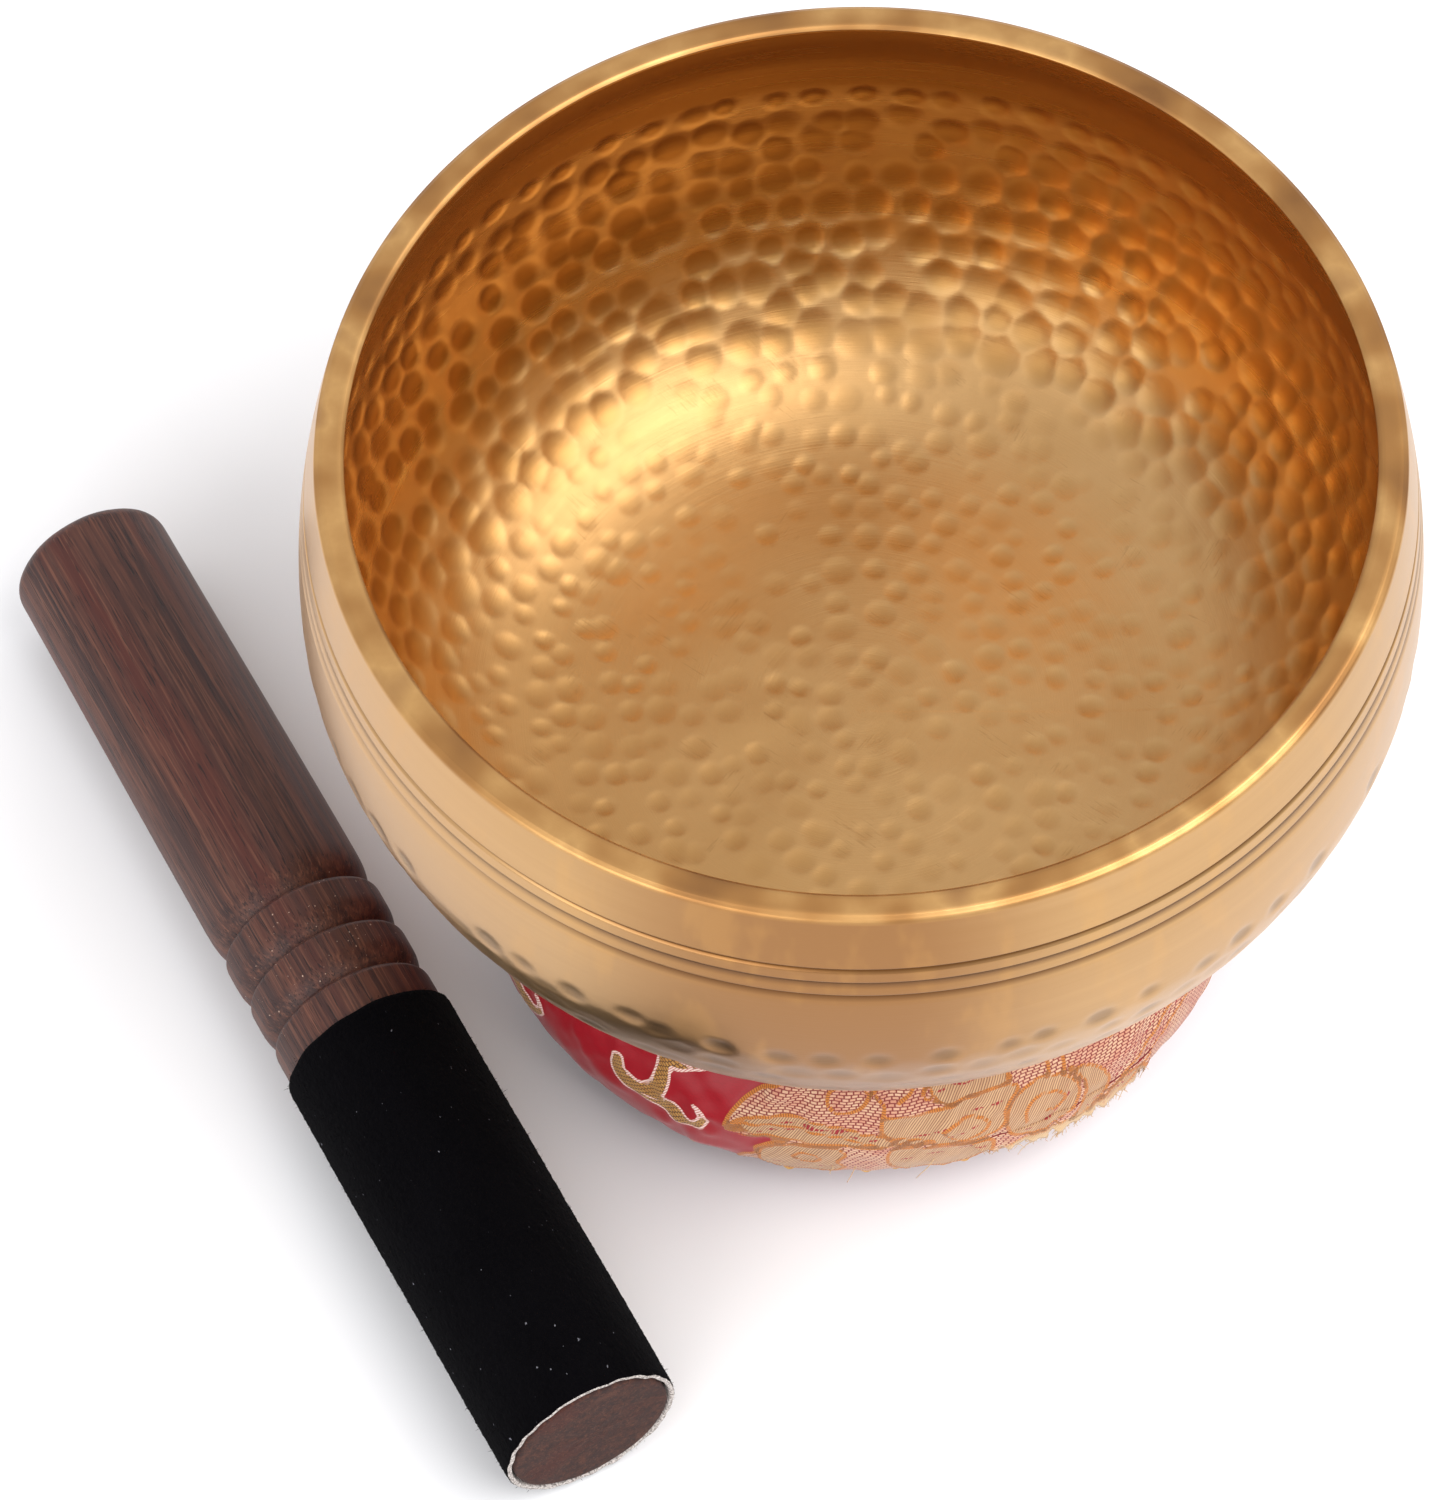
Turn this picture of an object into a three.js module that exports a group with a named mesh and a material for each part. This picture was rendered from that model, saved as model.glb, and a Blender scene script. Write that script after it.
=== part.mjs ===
// A singing bowl set: a hammered bronze bowl on a round stuffed brocade cushion, with its
// rosewood mallet, half wrapped in suede, lying beside it.
// Millimetres, +Z up. The origin is the centre of the cushion's flat underside.

import * as THREE from "three";

// Bowl
const BOWL_OFFSET_Y = 3;
const RIM_RADIUS = 62;
const RIM_WIDTH = 3.3;
const RIM_CHAMFER = 0.5;
const BELLY_RADIUS = 65.5;
const BELLY_DEPTH = 26.4;
const BOWL_HEIGHT = 61.4;
const BASE_RADIUS = 23.5;
const BELLY_ROUNDNESS = 3.1;
const BELLY_DROP = 1.49;
const WALL = 2.6;
const GROOVE_DEPTHS = [8.5, 10.8, 13.1];
const GROOVE_HALF_WIDTH = 0.4;
const GROOVE_CUT = 0.3;
const BOWL_SEGMENTS = 56;

// Cushion
const CUSHION_RADIUS = 49;
const CUSHION_HEIGHT = 31.2;
const SIDE_BULGE = 16.7;
const COVER = 0.9;
const FIT_GAP = 0.3;
const SEAM_ANGLE = -35;
const SEAM_HALF_GAP = 0.6;
const THREAD_RADIUS = 0.45;
const CUSHION_SEGMENTS = 48;

// Mallet
const MALLET_X = -65.1;
const MALLET_Y = -21.2;
const MALLET_HEADING = -61.5;
const MALLET_LENGTH = 140;
const HANDLE_END_RADIUS = 10.25;
const HANDLE_RADIUS = 10.5;
const CORE_RADIUS = 10.1;
const END_ROUNDING = 2.2;
const MALLET_GROOVES = [62, 69, 75.8];
const MALLET_GROOVE_CUT = 1.3;
const BEAD_ROUNDING = 3.2;
const SLEEVE_START = 81;
const SLEEVE_RADIUS = 11.15;
const SLEEVE_SLIT = 0.5;
const SLEEVE_SEAM_TURN = -26.5;
const MALLET_SEGMENTS = 36;

const radians = THREE.MathUtils.degToRad;

function material(color, roughness, metalness) {
  return new THREE.MeshStandardMaterial({ color, roughness, metalness });
}

const bronze = material(0xc99a55, 0.28, 1);
const brocade = material(0xa3122b, 0.6, 0);
const lining = material(0x8a1a26, 0.85, 0);
const wadding = material(0xe9e2d2, 0.95, 0);
const thread = material(0xd9a441, 0.6, 0);
const rosewood = material(0x4b2a22, 0.5, 0);
const suede = material(0x0d0c0e, 0.97, 0);

// A solid of revolution about +Z, from [radius, height] pairs.
function turned(name, profile, segments, finish) {
  const points = profile.map(([radius, height]) => new THREE.Vector2(radius, height));
  const geometry = new THREE.LatheGeometry(points, segments);
  geometry.rotateX(Math.PI / 2);
  const mesh = new THREE.Mesh(geometry, finish);
  mesh.name = name;
  return mesh;
}

// Each profile point moved inwards, square to the profile, by thickness(point).
function inset(profile, thickness) {
  return profile.map(([radius, height], i) => {
    const before = profile[Math.max(i - 1, 0)];
    const after = profile[Math.min(i + 1, profile.length - 1)];
    const along = new THREE.Vector2(after[0] - before[0], after[1] - before[1]).normalize();
    const by = thickness(radius, height);
    return [Math.max(radius - along.y * by, 0), height + along.x * by];
  });
}

// ---- Bowl: a turned and hammered wall with a flat, chamfered rim and three cut grooves.

// The outside below the belly, from the flat base up, as heights below the rim.
function lowerWall(steps) {
  return Array.from({ length: steps }, (_, i) => {
    const turn = (Math.PI / 2) * (1 - i / steps);
    const radius = BASE_RADIUS + (BELLY_RADIUS - BASE_RADIUS) * Math.cos(turn) ** (2 / BELLY_ROUNDNESS);
    const depth = BELLY_DEPTH + (BOWL_HEIGHT - BELLY_DEPTH) * Math.sin(turn) ** (2 / BELLY_DROP);
    return [radius, -depth];
  });
}

function upperRadius(depth) {
  const rise = (BELLY_DEPTH - depth) / BELLY_DEPTH;
  return BELLY_RADIUS - (BELLY_RADIUS - RIM_RADIUS) * rise ** 2;
}

function upperWall() {
  const plain = [BELLY_DEPTH, 21, 17, 5.5, 2.5];
  const grooved = GROOVE_DEPTHS.flatMap((depth) => [
    [upperRadius(depth + GROOVE_HALF_WIDTH), -(depth + GROOVE_HALF_WIDTH)],
    [upperRadius(depth) - GROOVE_CUT, -depth],
    [upperRadius(depth - GROOVE_HALF_WIDTH), -(depth - GROOVE_HALF_WIDTH)],
  ]);
  const smooth = plain.map((depth) => [upperRadius(depth), -depth]);
  return [...smooth, ...grooved].sort((a, b) => a[1] - b[1]);
}

function bowl() {
  const outside = [...lowerWall(16), ...upperWall(), [RIM_RADIUS, -RIM_CHAMFER]];
  const thickness = (radius, height) => (height > -6 ? RIM_WIDTH : WALL);
  const wall = [...lowerWall(14), ...[BELLY_DEPTH, 17, 9, 4].map((depth) => [upperRadius(depth), -depth])];
  const inside = inset(wall, thickness).reverse();
  const floorHeight = -BOWL_HEIGHT + WALL;
  const profile = [
    [0, -BOWL_HEIGHT],
    ...outside,
    [RIM_RADIUS - RIM_CHAMFER, 0],
    [RIM_RADIUS - RIM_WIDTH + RIM_CHAMFER, 0],
    [RIM_RADIUS - RIM_WIDTH, -RIM_CHAMFER],
    ...inside,
    [0, floorHeight],
  ];
  const mesh = turned("bowl", profile, BOWL_SEGMENTS, bronze);
  mesh.position.set(0, BOWL_OFFSET_Y, CUSHION_HEIGHT + FIT_GAP + BOWL_HEIGHT);
  return mesh;
}

// ---- Cushion: a brocade cover and a base panel round a wadding core, joined by a sewn seam.

const HALF_HEIGHT = CUSHION_HEIGHT / 2;
const FLAT_RADIUS = CUSHION_RADIUS - SIDE_BULGE;

// A point on the cushion's bulging side, at an angle above or below its middle, moved in by depth.
function sidePoint(degrees, depth) {
  const turn = radians(degrees);
  return [
    FLAT_RADIUS + (SIDE_BULGE - depth) * Math.cos(turn),
    HALF_HEIGHT + (HALF_HEIGHT - depth) * Math.sin(turn),
  ];
}

function sideArc(from, to, steps, depth) {
  return Array.from({ length: steps + 1 }, (_, i) => sidePoint(from + ((to - from) * i) / steps, depth));
}

// Degrees of the side that half the seam's gap takes.
const SEAM_SWEEP = THREE.MathUtils.radToDeg(SEAM_HALF_GAP / SIDE_BULGE);

function cushionCover() {
  const seam = SEAM_ANGLE + SEAM_SWEEP;
  const profile = [
    ...sideArc(seam, 90, 10, 0),
    [0, CUSHION_HEIGHT],
    [0, CUSHION_HEIGHT - COVER],
    ...sideArc(90, seam, 10, COVER),
    sidePoint(seam, 0),
  ];
  return turned("cushion_cover", profile, CUSHION_SEGMENTS, brocade);
}

function cushionBasePanel() {
  const seam = SEAM_ANGLE - SEAM_SWEEP;
  const profile = [[0, 0], ...sideArc(-90, seam, 5, 0), ...sideArc(seam, -90, 5, COVER), [0, COVER]];
  return turned("cushion_base_panel", profile, CUSHION_SEGMENTS, lining);
}

function cushionStuffing() {
  const depth = COVER + FIT_GAP;
  const profile = [[0, depth], ...sideArc(-90, 90, 12, depth), [0, CUSHION_HEIGHT - depth]];
  return turned("cushion_stuffing", profile, CUSHION_SEGMENTS, wadding);
}

function seamThread() {
  const [radius, height] = sidePoint(SEAM_ANGLE, -(THREAD_RADIUS + 0.1));
  const section = Array.from({ length: 7 }, (_, i) => {
    const turn = (Math.PI * 2 * (i % 6)) / 6;
    return [radius + THREAD_RADIUS * Math.cos(turn), height + THREAD_RADIUS * Math.sin(turn)];
  });
  return turned("cushion_seam_thread", section, CUSHION_SEGMENTS, thread);
}

// ---- Mallet: a turned handle with two beads, and a suede sleeve round its striking half.

// The handle's outline from its free end at 0 to the striking end, as [radius, distance] pairs.
function handleProfile() {
  const rounded = Array.from({ length: 5 }, (_, i) => {
    const turn = (Math.PI / 2) * (i / 4);
    return [
      HANDLE_END_RADIUS - END_ROUNDING * (1 - Math.sin(turn)),
      END_ROUNDING * (1 - Math.cos(turn)),
    ];
  });
  const shoulder = MALLET_GROOVES[0] - 7;
  const beads = MALLET_GROOVES.flatMap((at, i) => {
    const last = i === MALLET_GROOVES.length - 1;
    const after = last ? [[HANDLE_RADIUS, SLEEVE_START - 1]] : [];
    return [
      [HANDLE_RADIUS - MALLET_GROOVE_CUT * 0.45, at - BEAD_ROUNDING * 0.4],
      [HANDLE_RADIUS - MALLET_GROOVE_CUT, at],
      [HANDLE_RADIUS - MALLET_GROOVE_CUT * 0.35, at + BEAD_ROUNDING * 0.15],
      [HANDLE_RADIUS, at + BEAD_ROUNDING],
      ...after,
    ];
  });
  return [
    [0, 0],
    ...rounded,
    [HANDLE_RADIUS, shoulder],
    [HANDLE_RADIUS - MALLET_GROOVE_CUT * 0.12, shoulder + 3],
    ...beads,
    [CORE_RADIUS, SLEEVE_START - 0.6],
    [CORE_RADIUS, MALLET_LENGTH],
    [0, MALLET_LENGTH],
  ];
}

// The sleeve is one strip of suede wrapped round the core until its two edges almost meet.
function malletSleeve() {
  const bore = CORE_RADIUS + FIT_GAP;
  const halfSlit = SLEEVE_SLIT / 2 / SLEEVE_RADIUS;
  const section = new THREE.Shape();
  section.absarc(0, 0, SLEEVE_RADIUS, halfSlit, Math.PI * 2 - halfSlit, false);
  section.absarc(0, 0, bore, Math.PI * 2 - halfSlit, halfSlit, true);
  section.closePath();
  const depth = MALLET_LENGTH - SLEEVE_START;
  const geometry = new THREE.ExtrudeGeometry(section, {
    depth,
    bevelEnabled: false,
    curveSegments: MALLET_SEGMENTS,
  });
  const mesh = new THREE.Mesh(geometry, suede);
  mesh.name = "mallet_suede_sleeve";
  mesh.rotation.z = radians(SLEEVE_SEAM_TURN);
  mesh.position.z = SLEEVE_START;
  return mesh;
}

// Laid down with the free end and the sleeve both on the ground.
function mallet() {
  const laid = new THREE.Group();
  laid.add(turned("mallet_handle", handleProfile(), MALLET_SEGMENTS, rosewood), malletSleeve());
  const slope = Math.atan2(SLEEVE_RADIUS - HANDLE_END_RADIUS, SLEEVE_START - END_ROUNDING);
  const middle = MALLET_LENGTH / 2;
  const heading = radians(MALLET_HEADING);
  const direction = new THREE.Vector3(
    Math.cos(heading) * Math.cos(slope),
    Math.sin(heading) * Math.cos(slope),
    Math.sin(slope),
  );
  laid.quaternion.setFromUnitVectors(new THREE.Vector3(0, 0, 1), direction);
  const axisHeight = SLEEVE_RADIUS / Math.cos(slope) + (middle - SLEEVE_START) * Math.tan(slope);
  laid.position.set(MALLET_X, MALLET_Y, axisHeight);
  laid.position.addScaledVector(direction, -middle);
  return laid;
}

const group = new THREE.Group();
group.add(bowl(), cushionCover(), cushionBasePanel(), cushionStuffing(), seamThread(), mallet());

export default group;
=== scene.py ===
import math
from collections import namedtuple

import bmesh
import bpy
import numpy as np
from mathutils import Matrix, Vector


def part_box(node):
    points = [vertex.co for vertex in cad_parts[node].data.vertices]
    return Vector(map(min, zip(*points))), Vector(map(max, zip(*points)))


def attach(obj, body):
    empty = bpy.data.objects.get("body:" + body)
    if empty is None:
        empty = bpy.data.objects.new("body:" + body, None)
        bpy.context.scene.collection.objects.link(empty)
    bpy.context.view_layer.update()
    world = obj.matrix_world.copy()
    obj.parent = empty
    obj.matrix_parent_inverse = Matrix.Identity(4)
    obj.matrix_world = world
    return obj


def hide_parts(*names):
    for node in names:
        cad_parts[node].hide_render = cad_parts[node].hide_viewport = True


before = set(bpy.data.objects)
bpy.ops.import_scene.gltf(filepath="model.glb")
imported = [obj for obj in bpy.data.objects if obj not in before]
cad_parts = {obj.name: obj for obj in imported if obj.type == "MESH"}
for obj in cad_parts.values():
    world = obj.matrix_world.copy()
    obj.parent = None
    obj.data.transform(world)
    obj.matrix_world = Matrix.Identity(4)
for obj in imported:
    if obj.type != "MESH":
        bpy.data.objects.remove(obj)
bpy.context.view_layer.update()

MM = 0.001
TAU = 2 * math.pi
rng = np.random.default_rng(11)

# ---------------------------------------------------------------- sizes, from the frame

BOWL_LOW, BOWL_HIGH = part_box("bowl")
BOWL_X = (BOWL_LOW.x + BOWL_HIGH.x) / 2
BOWL_Y = (BOWL_LOW.y + BOWL_HIGH.y) / 2
RIM_Z = BOWL_HIGH.z / MM
BELLY_RADIUS = (BOWL_HIGH.x - BOWL_LOW.x) / 2 / MM
BOWL_HEIGHT = (BOWL_HIGH.z - BOWL_LOW.z) / MM
RIM_RADIUS = 62.0
RIM_WIDTH = 3.3
RIM_CHAMFER = 0.45
BELLY_DEPTH = 26.4
BASE_RADIUS = 23.5
BELLY_ROUNDNESS = 3.1
BELLY_DROP = 1.49
WALL = 2.6
GROOVE_DEPTHS = (8.5, 10.8, 13.1)
GROOVE_HALF_WIDTH = 0.5
GROOVE_CUT = 0.3

_, CUSHION_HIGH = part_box("cushion_cover")
CUSHION_HEIGHT = CUSHION_HIGH.z / MM
CUSHION_RADIUS = 49.0
SIDE_BULGE = 16.7
FLAT_RADIUS = CUSHION_RADIUS - SIDE_BULGE
HALF_HEIGHT = CUSHION_HEIGHT / 2
SEAM_ANGLE = -35.0

MALLET_LENGTH = 140.0
MALLET_HEADING = -61.5
MALLET_X, MALLET_Y = -65.1, -21.2
HANDLE_END_RADIUS = 10.25
HANDLE_RADIUS = 10.5
CORE_RADIUS = 10.4
SLEEVE_START = 81.0
SLEEVE_RADIUS = 11.15
MALLET_GROOVES = (62.0, 69.0, 75.8)
GROOVE_DEEP = 1.25
END_ROUNDING = 2.2
CORE_CLEARANCE = 0.28

# ---------------------------------------------------------------- camera, floor and light

CAMERA_DISTANCE = 744.0
CAMERA_ELEVATION = 56.576
CAMERA_PITCH = 59.263
LENS_PER_HEIGHT = 4.3639
PRINCIPAL_SHIFT = -0.0978

WORLD_TONE = (0.99, 0.985, 1.0, 1)
WORLD_STRENGTH = 0.98
LIGHT_AIM = Vector((0, 0, 0.05))
KEY_LIGHT = {"towards": (0.52, -0.24, 0.82), "distance": 1.1, "size": (1.0, 0.72), "power": 10}
FILL_LIGHT = {"towards": (-0.5, -0.75, 0.42), "distance": 1.3, "size": (1.0, 0.6), "power": 5.5}
FLOOR_SIZE = 8
FLOOR_DROP = 0.0002


def add_camera():
    data = bpy.data.cameras.new("camera")
    data.sensor_fit = "VERTICAL"
    data.sensor_height = 24
    data.lens = LENS_PER_HEIGHT * data.sensor_height
    data.shift_x = PRINCIPAL_SHIFT
    data.clip_start, data.clip_end = 0.05, 20
    camera = bpy.data.objects.new("camera", data)
    bpy.context.scene.collection.objects.link(camera)
    up = math.radians(CAMERA_ELEVATION)
    away = CAMERA_DISTANCE * MM
    camera.location = (BOWL_X, BOWL_Y - away * math.cos(up), RIM_Z * MM + away * math.sin(up))
    camera.rotation_euler = (math.radians(90 - CAMERA_PITCH), 0, 0)
    bpy.context.scene.camera = camera


def add_area(name, towards, distance, size, power):
    data = bpy.data.lights.new(name, "AREA")
    data.shape = "RECTANGLE"
    data.size, data.size_y = size
    data.energy = power
    light = bpy.data.objects.new(name, data)
    bpy.context.scene.collection.objects.link(light)
    direction = Vector(towards).normalized()
    light.location = LIGHT_AIM + direction * distance
    light.rotation_euler = direction.to_track_quat("Z", "Y").to_euler()


def add_studio():
    world = bpy.data.worlds.new("studio")
    bpy.context.scene.world = world
    world.use_nodes = True
    background = world.node_tree.nodes["Background"]
    background.inputs["Color"].default_value = WORLD_TONE
    background.inputs["Strength"].default_value = WORLD_STRENGTH
    add_area("key", **KEY_LIGHT)
    add_area("fill", **FILL_LIGHT)
    bpy.context.scene.view_settings.view_transform = "Standard"


def add_floor(finish):
    bpy.ops.mesh.primitive_plane_add(size=FLOOR_SIZE, location=(0, 0, -FLOOR_DROP))
    floor = bpy.context.object
    floor.name = "floor"
    floor.data.materials.append(finish)


# ---------------------------------------------------------------- node helpers


class Signal:
    """A value that a node gives. Sums and steps with it add the nodes that work them out."""

    def __init__(self, graph, socket):
        self.graph, self.socket = graph, socket

    def math(self, operation, a, b=0.0):
        made = self.graph.node("ShaderNodeMath", operation=operation)
        self.graph.put(made.inputs[0], a)
        self.graph.put(made.inputs[1], b)
        return Signal(self.graph, made.outputs[0])

    def __add__(self, other):
        return self.math("ADD", self, other)

    def __sub__(self, other):
        return self.math("SUBTRACT", self, other)

    def __rsub__(self, other):
        return self.math("SUBTRACT", other, self)

    def __mul__(self, other):
        return self.math("MULTIPLY", self, other)

    def either(self, other):
        return self.math("MAXIMUM", self, other)

    def step(self, low, high):
        """0 below low, 1 above high, smooth between."""
        made = self.graph.node("ShaderNodeMapRange", interpolation_type="SMOOTHSTEP")
        for name, value in (("Value", self), ("From Min", low), ("From Max", high)):
            self.graph.put(made.inputs[name], value)
        return Signal(self.graph, made.outputs["Result"])

    def rows(self, pitch):
        """The number of the row that the value lies in, and its place across the row, 0 to 1."""
        scaled = self.math("DIVIDE", self, pitch)
        return self.math("FLOOR", scaled), self.math("FRACT", scaled)

    def band(self, half, soft=0.08):
        """1 in the middle of a row, 0 at its edges."""
        off = self.math("ABSOLUTE", self - 0.5)
        return 1.0 - off.step(half - soft, half + soft)


class Graph:
    """One material's node tree, with short calls for the nodes used here."""

    def __init__(self, name):
        self.material = bpy.data.materials.new(name)
        self.material.use_nodes = True
        self.tree = self.material.node_tree
        self.shader = self.tree.nodes["Principled BSDF"]

    def node(self, kind, **settings):
        made = self.tree.nodes.new(kind)
        for key, value in settings.items():
            setattr(made, key, value)
        return made

    def put(self, socket, value):
        if isinstance(value, Signal):
            self.tree.links.new(value.socket, socket)
        elif socket.type == "RGBA" and len(value) == 3:
            socket.default_value = (*value, 1)
        else:
            socket.default_value = value

    def number(self, name):
        """A number stored on the mesh's vertices."""
        return Signal(self, self.node("ShaderNodeAttribute", attribute_name=name).outputs["Fac"])

    def place(self):
        return Signal(self, self.node("ShaderNodeTexCoord").outputs["Object"])

    def weave(self):
        return Signal(self, self.node("ShaderNodeUVMap", uv_map="weave").outputs["UV"])

    def vector(self, x, y, z=0.0):
        made = self.node("ShaderNodeCombineXYZ")
        for socket, value in zip(made.inputs, (x, y, z)):
            self.put(socket, value)
        return Signal(self, made.outputs[0])

    def split(self, vector):
        made = self.node("ShaderNodeSeparateXYZ")
        self.put(made.inputs[0], vector)
        return [Signal(self, socket) for socket in made.outputs]

    def stretch(self, vector, scale, turn=(0.0, 0.0, 0.0), shift=(0.0, 0.0, 0.0)):
        """The vector times a scale, one number or three, then turned and shifted."""
        made = self.node("ShaderNodeMapping")
        self.put(made.inputs["Vector"], vector)
        made.inputs["Scale"].default_value = scale if isinstance(scale, tuple) else (scale,) * 3
        made.inputs["Rotation"].default_value = turn
        made.inputs["Location"].default_value = shift
        return Signal(self, made.outputs[0])

    def noise(self, vector, scale=1.0, detail=2.0, roughness=0.5, distortion=0.0, **mapping):
        made = self.node("ShaderNodeTexNoise")
        self.put(made.inputs["Vector"], self.stretch(vector, scale, **mapping))
        made.inputs["Scale"].default_value = 1.0
        made.inputs["Detail"].default_value = detail
        made.inputs["Roughness"].default_value = roughness
        made.inputs["Distortion"].default_value = distortion
        return Signal(self, made.outputs["Fac"])

    def chance(self, row, number=None):
        """A random number for each row, or for each number in each row."""
        alone = number is None
        made = self.node("ShaderNodeTexWhiteNoise", noise_dimensions="1D" if alone else "2D")
        self.put(made.inputs["W" if alone else "Vector"], row if alone else self.vector(row, number))
        return Signal(self, made.outputs["Value"])

    def mix(self, factor, a, b):
        made = self.node("ShaderNodeMix", data_type="RGBA")
        colours = [s for s in made.inputs if s.type == "RGBA"]
        self.put(made.inputs[0], factor)
        self.put(colours[0], a)
        self.put(colours[1], b)
        return Signal(self, [s for s in made.outputs if s.type == "RGBA"][0])

    def layers(self, tone, *coats):
        """Coats over a tone, one after the other, each a mask and a colour."""
        for mask, colour in coats:
            tone = self.mix(mask, tone, colour)
        return tone

    def ramp(self, value, *stops):
        made = self.node("ShaderNodeValToRGB")
        self.put(made.inputs[0], value)
        elements = made.color_ramp.elements
        while len(elements) < len(stops):
            elements.new(0.5)
        for element, (position, colour) in zip(elements, stops):
            element.position = position
            element.color = (*colour, 1)
        return Signal(self, made.outputs["Color"])

    def bump(self, height, distance, strength):
        made = self.node("ShaderNodeBump")
        self.put(made.inputs["Height"], height)
        made.inputs["Distance"].default_value = distance
        made.inputs["Strength"].default_value = strength
        return Signal(self, made.outputs["Normal"])

    def surface(self, **inputs):
        for key, value in inputs.items():
            self.put(self.shader.inputs[key.replace("_", " ")], value)
        return self.material


def srgb(red, green, blue):
    """An 8-bit display colour as the linear one that a shader takes."""
    return tuple(
        (c / 255 / 12.92) if c / 255 <= 0.04045 else ((c / 255 + 0.055) / 1.055) ** 2.4
        for c in (red, green, blue)
    )


# ---------------------------------------------------------------- mesh helpers


def link(name, vertices, faces, finishes):
    mesh = bpy.data.meshes.new(name)
    mesh.from_pydata([tuple(v) for v in np.asarray(vertices, float)], [], faces)
    mesh.polygons.foreach_set("use_smooth", [True] * len(mesh.polygons))
    mesh.update()
    piece = bpy.data.objects.new(name, mesh)
    bpy.context.scene.collection.objects.link(piece)
    for finish in finishes:
        mesh.materials.append(finish)
    return piece


def store(piece, name, values):
    attribute = piece.data.attributes.new(name, "FLOAT", "POINT")
    attribute.data.foreach_set("value", np.asarray(values, np.float32))


class Turning:
    """A closed surface of revolution, ring by ring, whose rings may halve or double in count."""

    def __init__(self, profile, counts):
        self.profile = np.asarray(profile, float)
        self.counts = [1 if (r < 1e-6) else n for (r, _), n in zip(self.profile, counts)]
        self.starts = np.concatenate([[0], np.cumsum(self.counts)])
        steps = np.linalg.norm(np.diff(self.profile, axis=0), axis=1)
        self.along = np.concatenate([[0], np.cumsum(steps)])
        self.angles = [TAU * np.arange(n) / n for n in self.counts]

    def normals(self):
        p = self.profile
        d = np.empty_like(p)
        d[1:-1] = p[2:] - p[:-2]
        d[0], d[-1] = p[1] - p[0], p[-1] - p[-2]
        d /= np.linalg.norm(d, axis=1)[:, None]
        n = np.stack([d[:, 1], -d[:, 0]], 1)
        n[p[:, 0] < 1e-6, 0] = 0
        return n

    def ring_values(self, values):
        return np.concatenate([np.full(n, v) for n, v in zip(self.counts, values)])

    def theta(self):
        return np.concatenate(self.angles)

    def vertices(self, lift=None):
        """Positions in millimetres, moved out along the normal by lift, one value a vertex."""
        theta = self.theta()
        radius = self.ring_values(self.profile[:, 0])
        height = self.ring_values(self.profile[:, 1])
        if lift is not None:
            n = self.normals()
            radius = radius + self.ring_values(n[:, 0]) * lift
            height = height + self.ring_values(n[:, 1]) * lift
        return np.stack([radius * np.cos(theta), radius * np.sin(theta), height], 1)

    def faces(self):
        made = []
        for i in range(len(self.counts) - 1):
            made += self.between(i, i + 1)
        return made

    def between(self, low, high):
        a, b = int(self.starts[low]), int(self.starts[high])
        n, m = self.counts[low], self.counts[high]
        if n == 1 and m == 1:
            return []
        if n == 1:
            return [(a, b + (j + 1) % m, b + j) for j in range(m)]
        if m == 1:
            return [(a + j, a + (j + 1) % n, b) for j in range(n)]
        if n == m:
            return [(a + j, a + (j + 1) % n, b + (j + 1) % m, b + j) for j in range(n)]
        if n == 2 * m:
            made = []
            for j in range(m):
                p, q, r = a + 2 * j, a + 2 * j + 1, a + (2 * j + 2) % n
                s, t = b + j, b + (j + 1) % m
                made += [(p, q, s), (q, t, s), (q, r, t)]
            return made
        made = []
        for j in range(n):
            p, q = a + j, a + (j + 1) % n
            s, t, u = b + 2 * j, b + 2 * j + 1, b + (2 * j + 2) % m
            made += [(p, t, s), (p, q, t), (q, u, t)]
        return made


def resample(profile, spacing):
    """Points along a polyline at about the spacing that spacing(radius, height) gives."""
    profile = np.asarray(profile, float)
    lengths = np.concatenate([[0], np.cumsum(np.linalg.norm(np.diff(profile, axis=0), axis=1))])
    made, at = [], 0.0
    while at < lengths[-1]:
        point = [np.interp(at, lengths, profile[:, k]) for k in (0, 1)]
        made.append(point)
        at += spacing(*point)
    made.append(list(profile[-1]))
    return np.array(made)


# ---------------------------------------------------------------- bowl


def outer_radius(depth):
    """The smooth outside's radius at a depth under the rim, down to the belly."""
    rise = (BELLY_DEPTH - depth) / BELLY_DEPTH
    return BELLY_RADIUS - (BELLY_RADIUS - RIM_RADIUS) * rise**2


def groove_cut(depth):
    cut = np.zeros_like(depth)
    for at in GROOVE_DEPTHS:
        near = np.clip(np.abs(depth - at) / GROOVE_HALF_WIDTH, 0, 1)
        cut += GROOVE_CUT * (0.5 + 0.5 * np.cos(np.pi * near))
    return cut


def outside_profile():
    """From the base's centre up to the foot of the rim's outer chamfer."""
    turn = np.linspace(np.pi / 2, 0, 240)
    lower_radius = BASE_RADIUS + (BELLY_RADIUS - BASE_RADIUS) * np.cos(turn) ** (2 / BELLY_ROUNDNESS)
    lower_depth = BELLY_DEPTH + (BOWL_HEIGHT - BELLY_DEPTH) * np.sin(turn) ** (2 / BELLY_DROP)
    upper_depth = np.linspace(BELLY_DEPTH, RIM_CHAMFER, 900)[1:]
    radius = np.concatenate([[0], lower_radius, outer_radius(upper_depth)])
    depth = np.concatenate([[BOWL_HEIGHT], lower_depth, upper_depth])
    return np.stack([radius, -depth], 1)


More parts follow.
